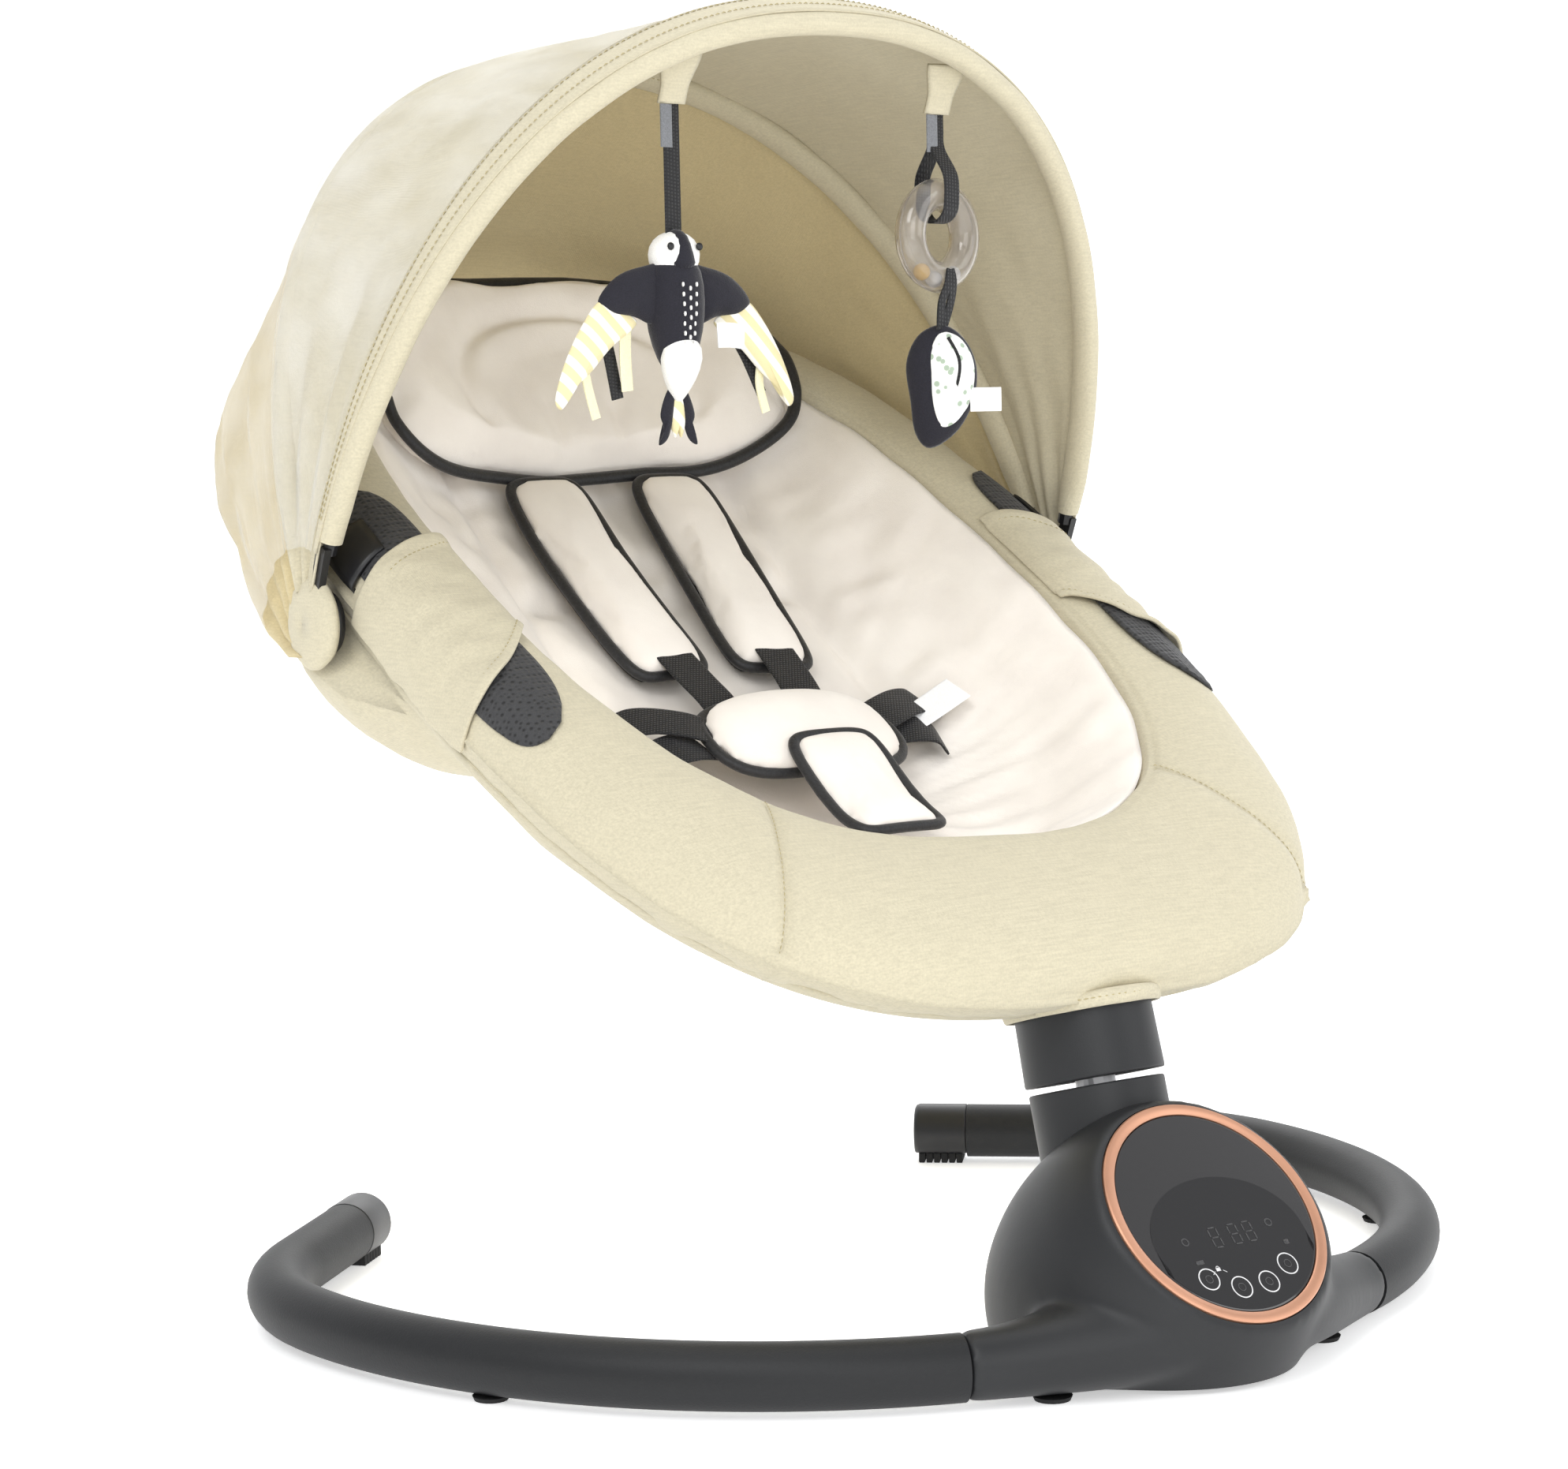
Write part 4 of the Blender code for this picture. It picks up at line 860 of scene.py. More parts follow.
def build_panel():
    ring = turned("panel_trim", ((-0.0038, PANEL_R - 0.0002), (0.0002, PANEL_R - 0.0002),
            (0.0009, PANEL_R - 0.0008), (0.0011, PANEL_R - 0.0022), (0.0006, GLASS_R + 0.0010),
            (0.0002, GLASS_R + 0.0003), (-0.0038, GLASS_R + 0.0003)), PANEL_CENTRE, PANEL_NORMAL, COPPER,
            128, closed=True)
    place(ring, "base", "copper_trim", "panel_ring")
    glass = turned("panel_cover", ((-0.0030, GLASS_R), (-0.0006, GLASS_R), (-0.0001, GLASS_R - 0.0004),
            (0.0, GLASS_R - 0.0010)), PANEL_CENTRE, PANEL_NORMAL, GLASS, 128)
    place(glass, "base", "black_glass", "panel_glass")

    top = 0.00006
    dome = []
    for k in range(65):
        a = math.radians(197 - (197 + 17) * k / 64)
        dome.append((0.0455 * math.cos(a), -0.0105 + 0.0330 * math.sin(a) - 0.004))
    low = []
    reach = GLASS_R - 0.0012
    for k in range(65):
        x = dome[k][0]
        low.append((x, -math.sqrt(max(reach ** 2 - x ** 2, 0.0))))
    rows = [[panel_point(x, v, z) for (x, v), z in ((dome[k], top), (low[k], top), (low[k], top + 0.0001),
            (dome[k], top + 0.0001))] for k in range(65)]
    display = skin("panel_display", rows, GLASS_DARK, caps=True, angle=30)
    place(display, "base", "black_glass")

    lift = top + 0.00012
    inked = []
    buttons = ((-0.0245, -0.0330), (-0.0085, -0.0400), (0.0085, -0.0400), (0.0245, -0.0330))
    for x, v in buttons:
        inked.append(flat_ring("button", x, v, 0.0058, 0.0052, lift, WHITE_INK))
    x, v = -0.0165, -0.0290
    inked.append(flat_ring("lock_bow", x, v + 0.0008, 0.0010, 0.0007, lift, WHITE_INK, 16, 0.0, 180.0))
    inked.append(flat_bar("lock_body", (x - 0.0013, v), (x + 0.0013, v), 0.0018, lift, WHITE_INK))
    for side in (-1, 1):
        inked.append(flat_bar("lock_line", (x + side * 0.0024, v - 0.0008), (x + side * 0.0042, v - 0.0022),
                0.0003, lift, WHITE_INK))
    place(join("panel_marks", inked), "base", "black_glass")

    faint = []
    for x in (-0.0085, 0.0035, 0.0125):
        for dx, dv, upright in ((0, 0, 0), (0, 0.0052, 0), (0, -0.0052, 0), (-0.0025, 0.0026, 1),
                (0.0025, 0.0026, 1), (-0.0025, -0.0026, 1), (0.0025, -0.0026, 1)):
            half = 0.0019
            a = (x + dx - (0 if upright else half), dv - 0.0130 - (half if upright else 0))
            b = (x + dx + (0 if upright else half), dv - 0.0130 + (half if upright else 0))
            faint.append(flat_bar("segment", a, b, 0.0007, lift, GREY_INK))
    for x, v in ((-0.0270, -0.0125), (0.0262, -0.0105)):
        faint.append(flat_ring("icon", x, v, 0.0022, 0.0015, lift, GREY_INK, 24))
    faint.append(flat_bar("icon_bar", (-0.0270, -0.0240), (-0.0225, -0.0240), 0.0022, lift, GREY_INK))
    faint.append(flat_bar("icon_bar", (0.0290, -0.0220), (0.0320, -0.0220), 0.0026, lift, GREY_INK))
    for x, v in buttons:
        faint.append(flat_ring("button_icon", x, v, 0.0022, 0.0017, lift, GREY_INK, 20))
    place(join("panel_faint_marks", faint), "base", "black_glass")


def paint_cad():
    """Procedural materials for every CAD node that still shows."""
    looks = {"leg_foot_": RUBBER, "housing_foot_": RUBBER, "bottom_cover": HOUSING, "display_board": BOARD,
            "speaker": RUBBER, "swing_shaft": STEEL, "drive_gear": BRASS, "motor_pinion": BRASS,
            "swing_motor": STEEL, "lower_bearing": STEEL, "upper_bearing": STEEL, "power_jack": RUBBER,
            "seat_hub": STEEL, "seat_frame": STEEL, "buckle": BLACK_PLASTIC}
    for name, obj in frame["nodes"].items():
        for start, mat in looks.items():
            if name.startswith(start):
                for slot in obj.material_slots:
                    slot.material = mat


def build_tower():
    low, high = TOWER_TUBE
    tube = turned("tower_tube", ((low + 0.0005, 0.0345), (low, 0.0340), (low, 0.0103),
            (low + 0.004, 0.0103), (low + 0.004, 0.0315), (high, 0.0308), (high, 0.0338),
            (low + 0.0015, 0.0346)), SWING_BASE, SWING_AXIS, HOUSING, 96, closed=True)
    place(tube, "seat", "charcoal_plastic", "upper_tube")
    sleeve = turned("tower_socket", ((-0.054, 0.0335), (-0.0008, 0.0335), (0.0, 0.0328), (0.0, 0.0307),
            (-0.054, 0.0305)), SWING_BASE, SWING_AXIS, HOUSING, 96, closed=True)
    place(sleeve, "base", "charcoal_plastic", "tower_sleeve")


# ---------------------------------------------------------------- seat cover
RIM_PROFILE = ((0.00, -0.014), (0.00, 0.000), (0.03, 0.0040), (0.10, 0.0070), (0.30, 0.0098),
        (0.60, 0.0086), (0.82, 0.0026), (0.94, -0.0060), (0.995, -0.0150), (1.008, -0.0205),
        (0.985, -0.0265), (0.930, -0.0330), (0.860, -0.0385), (0.80, -0.0405))
EDGE_SEAM = 9 / 13             # place of the cover's outer seam along its profile, at its widest
FRONT_SEAMS = (231.5, 308.5)   # angles of the two seams that cross the front of the cover


RIM_LINE = curve_through([Vector((r, n, 0)) for r, n in RIM_PROFILE], 81)


def rim_skin(t, v, lift=0.0):
    """Point of the cover at the angle t and the place v along its profile, 0 at the pad to 1 underneath."""
    at = v * (len(RIM_LINE) - 1)
    i = min(int(at), len(RIM_LINE) - 2)
    p = RIM_LINE[i].lerp(RIM_LINE[i + 1], at - i)
    q = RIM_LINE[i + 1] - RIM_LINE[i]
    x, s = across_rim(t, p.x)
    base = seat(x, s, p.y)
    x2, s2 = across_rim(t, p.x + q.x)
    along = seat(x2, s2, p.y + q.y) - base
    x3, s3 = across_rim(t + 0.01, p.x)
    around = seat(x3, s3, p.y) - base
    out = around.cross(along)
    if out.length < 1e-9:
        return base
    out.normalize()
    return base + out * lift if out.dot(SEAT_NORMAL) > 0 or v > 0.6 else base - out * lift


def rim_height(r):
    top = RIM_PROFILE[1:10]
    return float(np.interp(r, [p[0] for p in top], [p[1] for p in top]))


def angle_at(s_wanted, side):
    best = min((abs(across_rim(t, 0.5)[1] - s_wanted), t) for t in np.linspace(-1.5, 1.5, 1201))
    return best[1] if side > 0 else math.pi - best[1]


def build_rim():
    angles = sorted(even_angles(0.8, 260) + [math.radians(a + d) for a in FRONT_SEAMS
            for d in (-0.45, 0, 0.45)])
    across = 46
    rows = []
    for t in angles:
        row = []
        near_front = min(abs(math.degrees(t) - seam) for seam in FRONT_SEAMS)
        for j in range(across):
            v = j / (across - 1)
            p = rim_skin(t, v)
            pull = ripple(p.x, p.y, p.z, 0.050) * 0.0012 + ripple(p.x + 3, p.y, p.z, 0.018) * 0.0005
            drape = smoothstep((v - 0.70) / 0.2) * ripple(math.cos(t) * 2.2, math.sin(t) * 2.2, v * 0.2,
                    0.11) * 0.0016
            pucker = math.exp(-((v - EDGE_SEAM) / 0.035) ** 2) * ripple(math.cos(t) * 0.3,
                    math.sin(t) * 0.3, 0, 0.008)
            groove = math.exp(-((v - EDGE_SEAM) / 0.013) ** 2)
            cross = math.exp(-(near_front / 0.55) ** 2) * smoothstep((v - 0.12) / 0.05)
            inner = math.exp(-((v - 0.175) / 0.02) ** 2)
            lift = pull + drape + 0.0007 * pucker - 0.0018 * groove - 0.0024 * cross - 0.0006 * inner
            row.append(rim_skin(t, v, lift))
        rows.append(row)
    rim = skin("seat_cover", rows, LINEN, around=False, along=True)
    thicken(rim, 0.0024)
    place(rim, "seat", "linen", "cover_rim")

    angles = even_angles(0.8, 700)
    angles.append(angles[0] + 2 * math.pi)
    points = [rim_skin(t, EDGE_SEAM, -0.0004) for t in angles]
    ups = [rim_skin(t, EDGE_SEAM, 0.004) - rim_skin(t, EDGE_SEAM) for t in angles]
    seam = stitches("cover_edge_stitches", points, ups, THREAD, *COVER_STITCH, 0.00035)
    place(seam, "seat", "linen")
    extra = []
    for angle in FRONT_SEAMS:
        t = math.radians(angle)
        places = [0.16 + 0.80 * k / 40 for k in range(41)]
        points = [rim_skin(t, v, -0.0008) for v in places]
        ups = [rim_skin(t, v, 0.004) - rim_skin(t, v) for v in places]
        extra.append(stitches("cross", points, ups, THREAD, *COVER_STITCH, 0.0003))
    place(join("cover_cross_stitches", extra), "seat", "linen")


def build_shell():
    """The cover's underside: it leaves the rim's seam, hangs in a tub and closes round the tower."""
    count = 200
    rows = []
    s_mid = RIM_INNER[2] - 0.03
    for f in [1.02, 1.0, *np.linspace(0.985, 0.004, 31)]:
        row = []
        for t in turns(count):
            x, s = across_rim(t, SHELL_EDGE[0] + (0.14 if f > 1.0 else 0.05))
            tub = smoothstep((s - 0.16) / 0.10)
            g = min(f, 1.0)
            x, s = x * g, s_mid + (s - s_mid) * g
            deep = 0.062 + 0.012 * smoothstep((s - 0.02) / 0.12) - 0.030 * smoothstep((s - 0.26) / 0.25)
            n = SHELL_EDGE[1] - (1 - g ** (3.0 + 5.0 * tub)) * deep - 0.004 + (0.009 if f > 1.0 else 0.0)
            p = seat(x, s, n)
            hang = smoothstep((1.0 - g) / 0.04)
            x *= 1.0 + 0.14 * hang * smoothstep((s - 0.17) / 0.04) * (1 - smoothstep((s - 0.26) / 0.06))
            fold = ripple(math.cos(t) * 0.9, math.sin(t) * 0.9, g * 0.25, 0.10) * 0.0028 * hang
            small = ripple(p.x, p.y, p.z, 0.022) * 0.0008 * hang
            row.append(seat(x, s, n - 0.001 + fold + small))
        rows.append(row)
    shell = skin("seat_cover_under", rows, LINEN, caps=False)
    thicken(shell, 0.0022, 1.0)
    cutter = turned("tower_hole", ((-0.02, COLLAR_HOLE), (0.12, COLLAR_HOLE)), SWING_BASE, SWING_AXIS,
            LINEN, 64)
    union(shell, cutter, "DIFFERENCE")
    place(shell, "seat", "linen", "under_shell")

    rings = []
    for h, r, wave in ((0.0424, 0.0352, 0.0), (0.0426, 0.0290, 0.0), (0.0446, 0.0290, 0.0),
            (0.0446, 0.0330, 0.0), (0.0440, 0.0372, 0.0003), (0.0425, 0.0390, 0.0005),
            (0.0400, 0.0394, 0.0005), (0.0368, 0.0388, 0.0003), (0.0360, 0.0380, 0.0002),
            (0.0362, 0.0362, 0.0)):
        ring = []
        for a in turns(120):
            bulge = ripple(math.cos(a) * 0.04, math.sin(a) * 0.04, h, 0.016) * wave
            ring.append(tower((r + bulge) * math.sin(a), (r + bulge) * math.cos(a), h + bulge))
        rings.append(ring)
    collar = skin("tower_hem", rings, LINEN, along=True)
    place(collar, "seat", "linen", "tower_collar")
    points = [tower(0.0393 * math.sin(a), 0.0393 * math.cos(a), 0.0405)
            for a in np.linspace(0, 2 * math.pi, 181)]
    ups = [p - tower(0, 0, 0.0405) for p in points]
    place(stitches("tower_hem_stitches", points, ups, THREAD, *COVER_STITCH, 0.0003), "seat", "linen")


SLEEVE_PROFILE = ((0.03, 0.0050), (0.12, 0.0108), (0.30, 0.0142), (0.60, 0.0136), (0.84, 0.0075),
        (0.97, -0.0040), (1.025, -0.0160), (1.015, -0.0290))


def build_side_fabric():
    for label, side in (("left", -1), ("right", 1)):
        lows, highs = (angle_at(s, side) for s in MESH_RUN)
        rows = []
        for i in range(49):
            p = i / 48
            t = lows + (highs - lows) * p
            end = (1 - abs(2 * p - 1) ** 5) ** 0.5
            mid, half = 0.62, 0.33 * end
            rows.append([seat(*across_rim(t, mid + half * q), rim_height(mid + half * q) + 0.0016
                    + 0.0012 * (1 - abs(q) ** 6)) for q in np.linspace(-1, 1, 15)])
        patch = thicken(skin("mesh_patch_" + label, rows, MESH, around=False), 0.0012, 0.0)
        place(patch, "seat", "webbing", "mesh_strip_" + label)

        lows, highs = (angle_at(s, side) for s in SLEEVE_RUN)
        profile = curve_through([Vector((r, n, 0)) for r, n in SLEEVE_PROFILE], 34)
        rows = []
        for i in range(45):
            p = i / 44
            row = []
            for q in profile:
                t = lows + (highs - lows) * p
                x, s = across_rim(t, q.x)
                bow = -0.009 * math.sin(math.pi * min(max(q.x, 0.0), 1.0)) * (1 - p)
                hem = 0.0012 * smoothstep((0.10 - min(p, 1 - p)) / 0.03)
                loose = smoothstep(q.x / 0.3)
                crease = ripple(x * 1.0, s * 2.8, q.x * 0.05, 0.032) * 0.0024
                slack = math.sin(math.pi * p) * 0.0012
                row.append(seat(x, s + bow, q.y + (crease - slack) * loose + hem))
            rows.append(row)
        sleeve = thicken(skin("sleeve_" + label, rows, LINEN, around=False), 0.0022, 0.0)
        soften(sleeve)
        place(sleeve, "seat", "linen", "side_sleeve_" + label)
        runs = []
        for i in (4, 40):
            points = [rows[i][j] + SEAT_NORMAL * 0.0013 for j in range(2, 27)]
            runs.append(stitches("hem", points, [SEAT_NORMAL] * len(points), THREAD, *HEM_STITCH, 0.00035))
        place(join("sleeve_stitches_" + label, runs), "seat", "linen")


# ---------------------------------------------------------------- pads
BACK_CREASE_X = 0.094
TUFTS = ((0.006, 0.318), (-0.080, 0.290), (0.080, 0.290))


def bowl_floor(s, f):
    """Height of the plain bowl, f being 0 at its middle and 1 at the rim. It is shallower at the head."""
    return -0.004 - (1 - f ** 3.2) * (LINER_DEPTH - 0.10 * (s - 0.14))


def bowl_height(x, s, f):
    """Top of the seat pad: the bowl, its side bolsters, creases, tufts and wrinkles."""
    n = bowl_floor(s, f)
    back = smoothstep((s - 0.13) / 0.05) * (1 - smoothstep((s - 0.40) / 0.05))
    n -= 0.0065 * math.exp(-((abs(x) - BACK_CREASE_X) / 0.0075) ** 2) * back
    n += 0.0030 * math.exp(-((abs(x) - BACK_CREASE_X - 0.030) / 0.020) ** 2) * back
    middle = 1 - smoothstep((abs(x) - 0.070) / 0.03)
    n -= 0.0040 * math.exp(-((s - 0.292) / 0.0080) ** 2) * middle
    n -= 0.0030 * math.exp(-((s - 0.105) / 0.0090) ** 2) * middle
    for tx, ts in TUFTS:
        n -= 0.0060 * math.exp(-(((x - tx) ** 2 + (s - ts) ** 2) / 0.009 ** 2))
    angle = math.atan2(s - 0.12, x)
    radial = ripple(math.cos(angle) * 0.6, math.sin(angle) * 0.6, f * 0.1, 0.055)
    n += radial * 0.0046 * smoothstep((f - 0.35) / 0.3) * (1 - smoothstep((f - 0.95) / 0.05))
    pleats = math.sin(s * 210.0 + 22.0 * abs(x) + 1.5 * ripple(x, s, 3.0, 0.04)) * ripple(x, s, 6.0, 0.05)
    n += 0.0030 * pleats * smoothstep((f - 0.45) / 0.2) * (1 - smoothstep((f - 0.90) / 0.06))
    n += ripple(x, s, 0.0, 0.060) * 0.0034 * (1 - smoothstep((f - 0.92) / 0.08))
    n += ripple(x + 5, s * 0.6, 0.0, 0.026) * 0.0024
    return n


def build_liner():
    half_width, half_length, centre, power = RIM_INNER
    count = 216
    top, under = [], []
    for f in np.linspace(0.02, 1.0, 62):
        ring_top, ring_under = [], []
        for t in turns(count):
            x, s = oval((half_width - 0.0010, half_length - 0.0010, centre, power), t)
            x, s = x * f, centre + (s - centre) * f - 0.05 * (1 - f)
            edge = smoothstep((f - 0.955) / 0.045)
            n = bowl_height(x, s, f) - 0.003 * edge ** 2 + 0.0065 * smoothstep((f - 0.80) / 0.12)
            ring_top.append(seat(x, s, n))
            ring_under.append(seat(x, s, min(bowl_floor(s, f) - LINER_THICK, n - 0.003)))
        top.append(ring_top)
        under.append(ring_under)
    liner = skin("seat_pad", under + top[::-1], VELOUR, caps=True)
    place(liner, "seat", "velour", "liner_pad")


def lie(x, s):
    """Height of the seat pad's plain top at (x, s), or of the rim's skin outside it."""
    half_width, half_length, centre, power = RIM_INNER
    half_width, half_length = half_width - 0.014, half_length - 0.014
    f = 0.8
    for _ in range(6):
        middle = centre - 0.05 * (1 - f)
        f = ((abs(x) / half_width) ** power + (abs(s - middle) / half_length) ** power) ** (1 / power)
        f = min(f, 1.0)
    outside = ((abs(x) / half_width) ** power + (abs(s - centre) / half_length) ** power) ** (1 / power)
    return bowl_floor(s, f) + 0.016 * smoothstep((outside - 0.97) / 0.10)


def pad_body(name, surface, mat, half_width, length_steps=36, across=17, thick=0.012, square=6.0):
    """A closed crowned pad. surface(u, v) gives a point and its outward direction, u and v from -1 to 1."""
    top, under = [], []
    for i in range(length_steps + 1):
        u = -1 + 2 * i / length_steps
        narrow = max(1 - abs(u) ** square, 0.0) ** (1 / square)
        row_top, row_under = [], []
        for j in range(across):
            q = -1 + 2 * j / (across - 1)
            v = q * max(narrow, 0.02)
            point, up = surface(u, v * half_width)
            fat = max(1 - abs(u) ** 4, 0.0) ** 0.5 * max(1 - abs(q) ** 3.2, 0.0) ** 0.5
            row_top.append(point + up * (thick * (0.06 + 0.60 * fat)))
            row_under.append(point - up * (thick * (0.06 + 0.30 * fat)))
        top.append(row_top)
        under.append(row_under)
    rings = [a + b[::-1] for a, b in zip(top, under)]
    return skin(name, rings, mat, caps=True)


def outline_of(surface, half_width, square, count=120, grow=0.0):
    """Closed outline of a pad, as points and outward directions."""
    points, ups = [], []
    for a in turns(count):
        u = squared(math.cos(a), square)
        v = squared(math.sin(a), square) * (half_width + grow)
        point, up = surface(u * (1 + grow / 0.08), v)
        points.append(point)
        ups.append(up)
    return points, ups


def run_surface(stations):
    """surface(u, v) of a strip along (x, s, n) stations, v metres across."""
    line = curve_through([seat(*c) for c in stations], 61)

    def surface(u, v):
        at = (u + 1) / 2 * 60
        i = int(min(max(at, 0), 59))
        point = line[i].lerp(line[i + 1], at - i)
        along = (line[min(i + 2, 60)] - line[max(i - 1, 0)]).normalized()
        across = along.cross(SEAT_NORMAL).normalized()
        up = across.cross(along).normalized()
        return point + across * v - up * (abs(v) * 4) ** 2 * 0.10, up

    return surface


def strap(name, stations, mat=None, width=WEBBING_WIDTH, thick=0.0016, count=40):
    """Flat webbing through (x, s, n) stations."""
    line = curve_through([seat(*c) for c in stations], count)
    return sweep(name, line, [SEAT_NORMAL] * count, width / 2, thick / 2, mat or TAPE, power=6.0, count=16)


def build_harness():
    for label, side in (("left", -1), ("right", 1)):
        run = [(side * x, s, lie(x + 0.026, s) + 0.0105) for x, s in ((0.043, 0.375), (0.042, 0.32),
                (0.038, 0.26), (0.034, 0.215))]
        surface = run_surface(run)
        pad = pad_body("shoulder_pad_top_" + label, surface, VELOUR, SHOULDER_HALF, thick=0.0135, square=5.0)
        pad = puffed(pad, 0.0035, 0.0032)
        place(pad, "seat", "velour", "shoulder_pad_" + label)
        points, ups = outline_of(surface, SHOULDER_HALF + 0.0008, 5.0, 140)
        points = [p - u * 0.0010 for p, u in zip(points, ups)]
        bind = sweep("shoulder_binding_" + label, points, ups, 0.0034, 0.0029, BINDING, closed=True, count=12)
        place(bind, "seat", "webbing")
        back = pad_body("shoulder_pad_back_" + label, lambda u, v: (surface(u, v)[0] - surface(u,
                v)[1] * 0.0052, surface(u, v)[1]), BINDING, 0.0262, 30, 13, 0.0022, 5.0)
        place(back, "seat", "webbing")
        low = strap("shoulder_web_" + label, ((side * 0.0335, 0.222, -0.0545),
                (side * 0.0315, 0.200, -0.0560), (side * 0.0290, 0.182, -0.0575),
                (side * 0.0270, 0.165, -0.0610)))
        place(low, "seat", "webbing", "shoulder_strap_" + label)
        waist = strap("waist_web_" + label, ((side * 0.050, 0.146, -0.0550), (side * 0.066, 0.152, -0.0520),
                (side * 0.084, 0.160, -0.0530), (side * 0.098, 0.163, -0.0560),
                (side * 0.108, 0.166, -0.0640)))
        place(waist, "seat", "webbing", "waist_strap_" + label)
        fold = strap("waist_fold_" + label, ((side * 0.060, 0.142, -0.0600), (side * 0.076, 0.138, -0.0560),
                (side * 0.088, 0.136, -0.0575), (side * 0.096, 0.134, -0.0640)))
        place(fold, "seat", "webbing")

    belly = run_surface([(0, 0.172, -0.0535), (0, 0.150, -0.0495), (0, 0.125, -0.0500), (0, 0.104, -0.0530)])
    pad = puffed(pad_body("belly_pad_top", belly, VELOUR, BELLY_HALF, 26, 27, 0.0135, 2.6), 0.0035, 0.0032)
    place(pad, "seat", "velour", "belly_pad")
    points, ups = outline_of(belly, BELLY_HALF + 0.0010, 2.6, 160, 0.0006)
    place(sweep("belly_binding", points, ups, 0.0034, 0.0028, BINDING, closed=True), "seat", "webbing")
    crotch = run_surface([(0, 0.118, -0.0400), (0, 0.098, -0.0435), (0, 0.076, -0.0470),
            (0, 0.055, -0.0475), (0, 0.036, -0.0440)])
    pad = puffed(pad_body("crotch_pad_top", crotch, VELOUR, CROTCH_HALF, 26, 17, 0.0110, 5.0), 0.0030, 0.0032)
    place(pad, "seat", "velour", "crotch_pad")
    points, ups = outline_of(crotch, CROTCH_HALF + 0.0008, 5.0, 140)
    place(sweep("crotch_binding", points, ups, 0.0032, 0.0027, BINDING, closed=True), "seat", "webbing")
    tag_line = [(x, s, lie(x, s) + n) for x, s, n in ((0.070, 0.146, 0.0125), (0.086, 0.149, 0.0140),
            (0.102, 0.153, 0.0125), (0.116, 0.157, 0.0085))]
    tag = strap("care_label", tag_line, LABEL, 0.019, 0.0008)
    place(tag, "seat", "webbing")


def pillow_surface(u, v):
    """u across the seat from -1 to 1, v metres along it."""
    x = PILLOW_HALF[0] * u
    s = PILLOW_S + v + 0.010 * (1 - u * u) + 0.0016 * math.sin(u * 9.0) - 0.004 * (1 - u) * (v < 0)
    point = seat(x, s, lie(x, s) + 0.0095)
    right = seat(x + 0.004, s, lie(x + 0.004, s)) - seat(x - 0.004, s, lie(x - 0.004, s))
    ahead = seat(x, s + 0.004, lie(x, s + 0.004)) - seat(x, s - 0.004, lie(x, s - 0.004))
    return point, right.cross(ahead).normalized()


def build_pillow():
    pad = pad_body("head_pillow_pad", pillow_surface, VELOUR, PILLOW_HALF[1], 60, 29, 0.029, 5.5)
    pad = puffed(pad, 0.0060, 0.0042)
    rest = np.array([v.co for v in pad.data.vertices])
    centre = np.array(seat(0, PILLOW_S, 0))
    for index, vertex in enumerate(pad.data.vertices):
        q = rest[index] - centre
        x, s = q[0], float(np.dot(q, SEAT_ALONG))
        ring = math.hypot(x / TUCK_HALF[0], (s + 0.020) / TUCK_HALF[1])
        sink = math.exp(-(abs(ring - 1.0) / 0.10) ** 2) * (1 - smoothstep((-s - 0.035) / 0.02))
        inside = 1 - smoothstep((ring - 0.55) / 0.4)
        crease = math.exp(-((abs(x) - 0.022) / 0.005) ** 2) * (1 - smoothstep((s + 0.03) / 0.02))
        vertex.co -= SEAT_NORMAL * (0.0058 * sink + 0.0066 * inside + 0.0030 * crease)
        vertex.co += SEAT_NORMAL * (ripple(x, s, 0, 0.03) * 0.0012)
    place(pad, "seat", "velour", "head_pillow")
    points, ups = outline_of(pillow_surface, PILLOW_HALF[1] + 0.0010, 5.5, 300, 0.0004)
    points = [p + u * 0.0005 for p, u in zip(points, ups)]
    place(sweep("pillow_binding", points, ups, 0.0040, 0.0033, BINDING, closed=True), "seat", "webbing")


# ---------------------------------------------------------------- canopy
def arch(u):
    """Canopy arch at u from 0 (left pivot) to 1 (right pivot): x and height."""
    a = math.pi * (1 - u)
    half_width, height = BOW_ARCH
    c, s = math.cos(a), math.sin(a)
    return half_width * math.copysign(abs(c) ** ARCH_POWER, c), height * abs(s) ** ARCH_POWER


def canopy_point(u, angle, lift):
    """A point lift metres outside the bows' middle line, at u along the arch and this angle."""
    x, h = arch(u)
    x0, h0 = arch(max(u - 0.01, 0.0005))
    x1, h1 = arch(min(u + 0.01, 0.9995))
    tangent = Vector((x1 - x0, h1 - h0)).normalized()
    return fan(x - tangent.y * lift, h + tangent.x * lift, angle)


def canopy_out(u, angle):
    return (canopy_point(u, angle, 0.01) - canopy_point(u, angle, 0.0)).normalized()


def span_sag(p, depth):
    """How far taut fabric between two bows lies inside their common radius."""
    return -depth * math.sin(math.pi * min(max(p, 0.0), 1.0))


def skirt_angle(u):
    """Angle of the canopy's back edge: over the head end, and right under the pivots at the sides."""
    return float(np.interp(arch(u)[1], *zip(*SKIRT_EDGE)))


SKIRT_EDGE = ((0.0, -100.0), (0.018, -80.0), (0.030, -22.0), (0.055, 5.0), (0.096, 22.0), (0.20, 28.0),
        (0.33, 30.0))


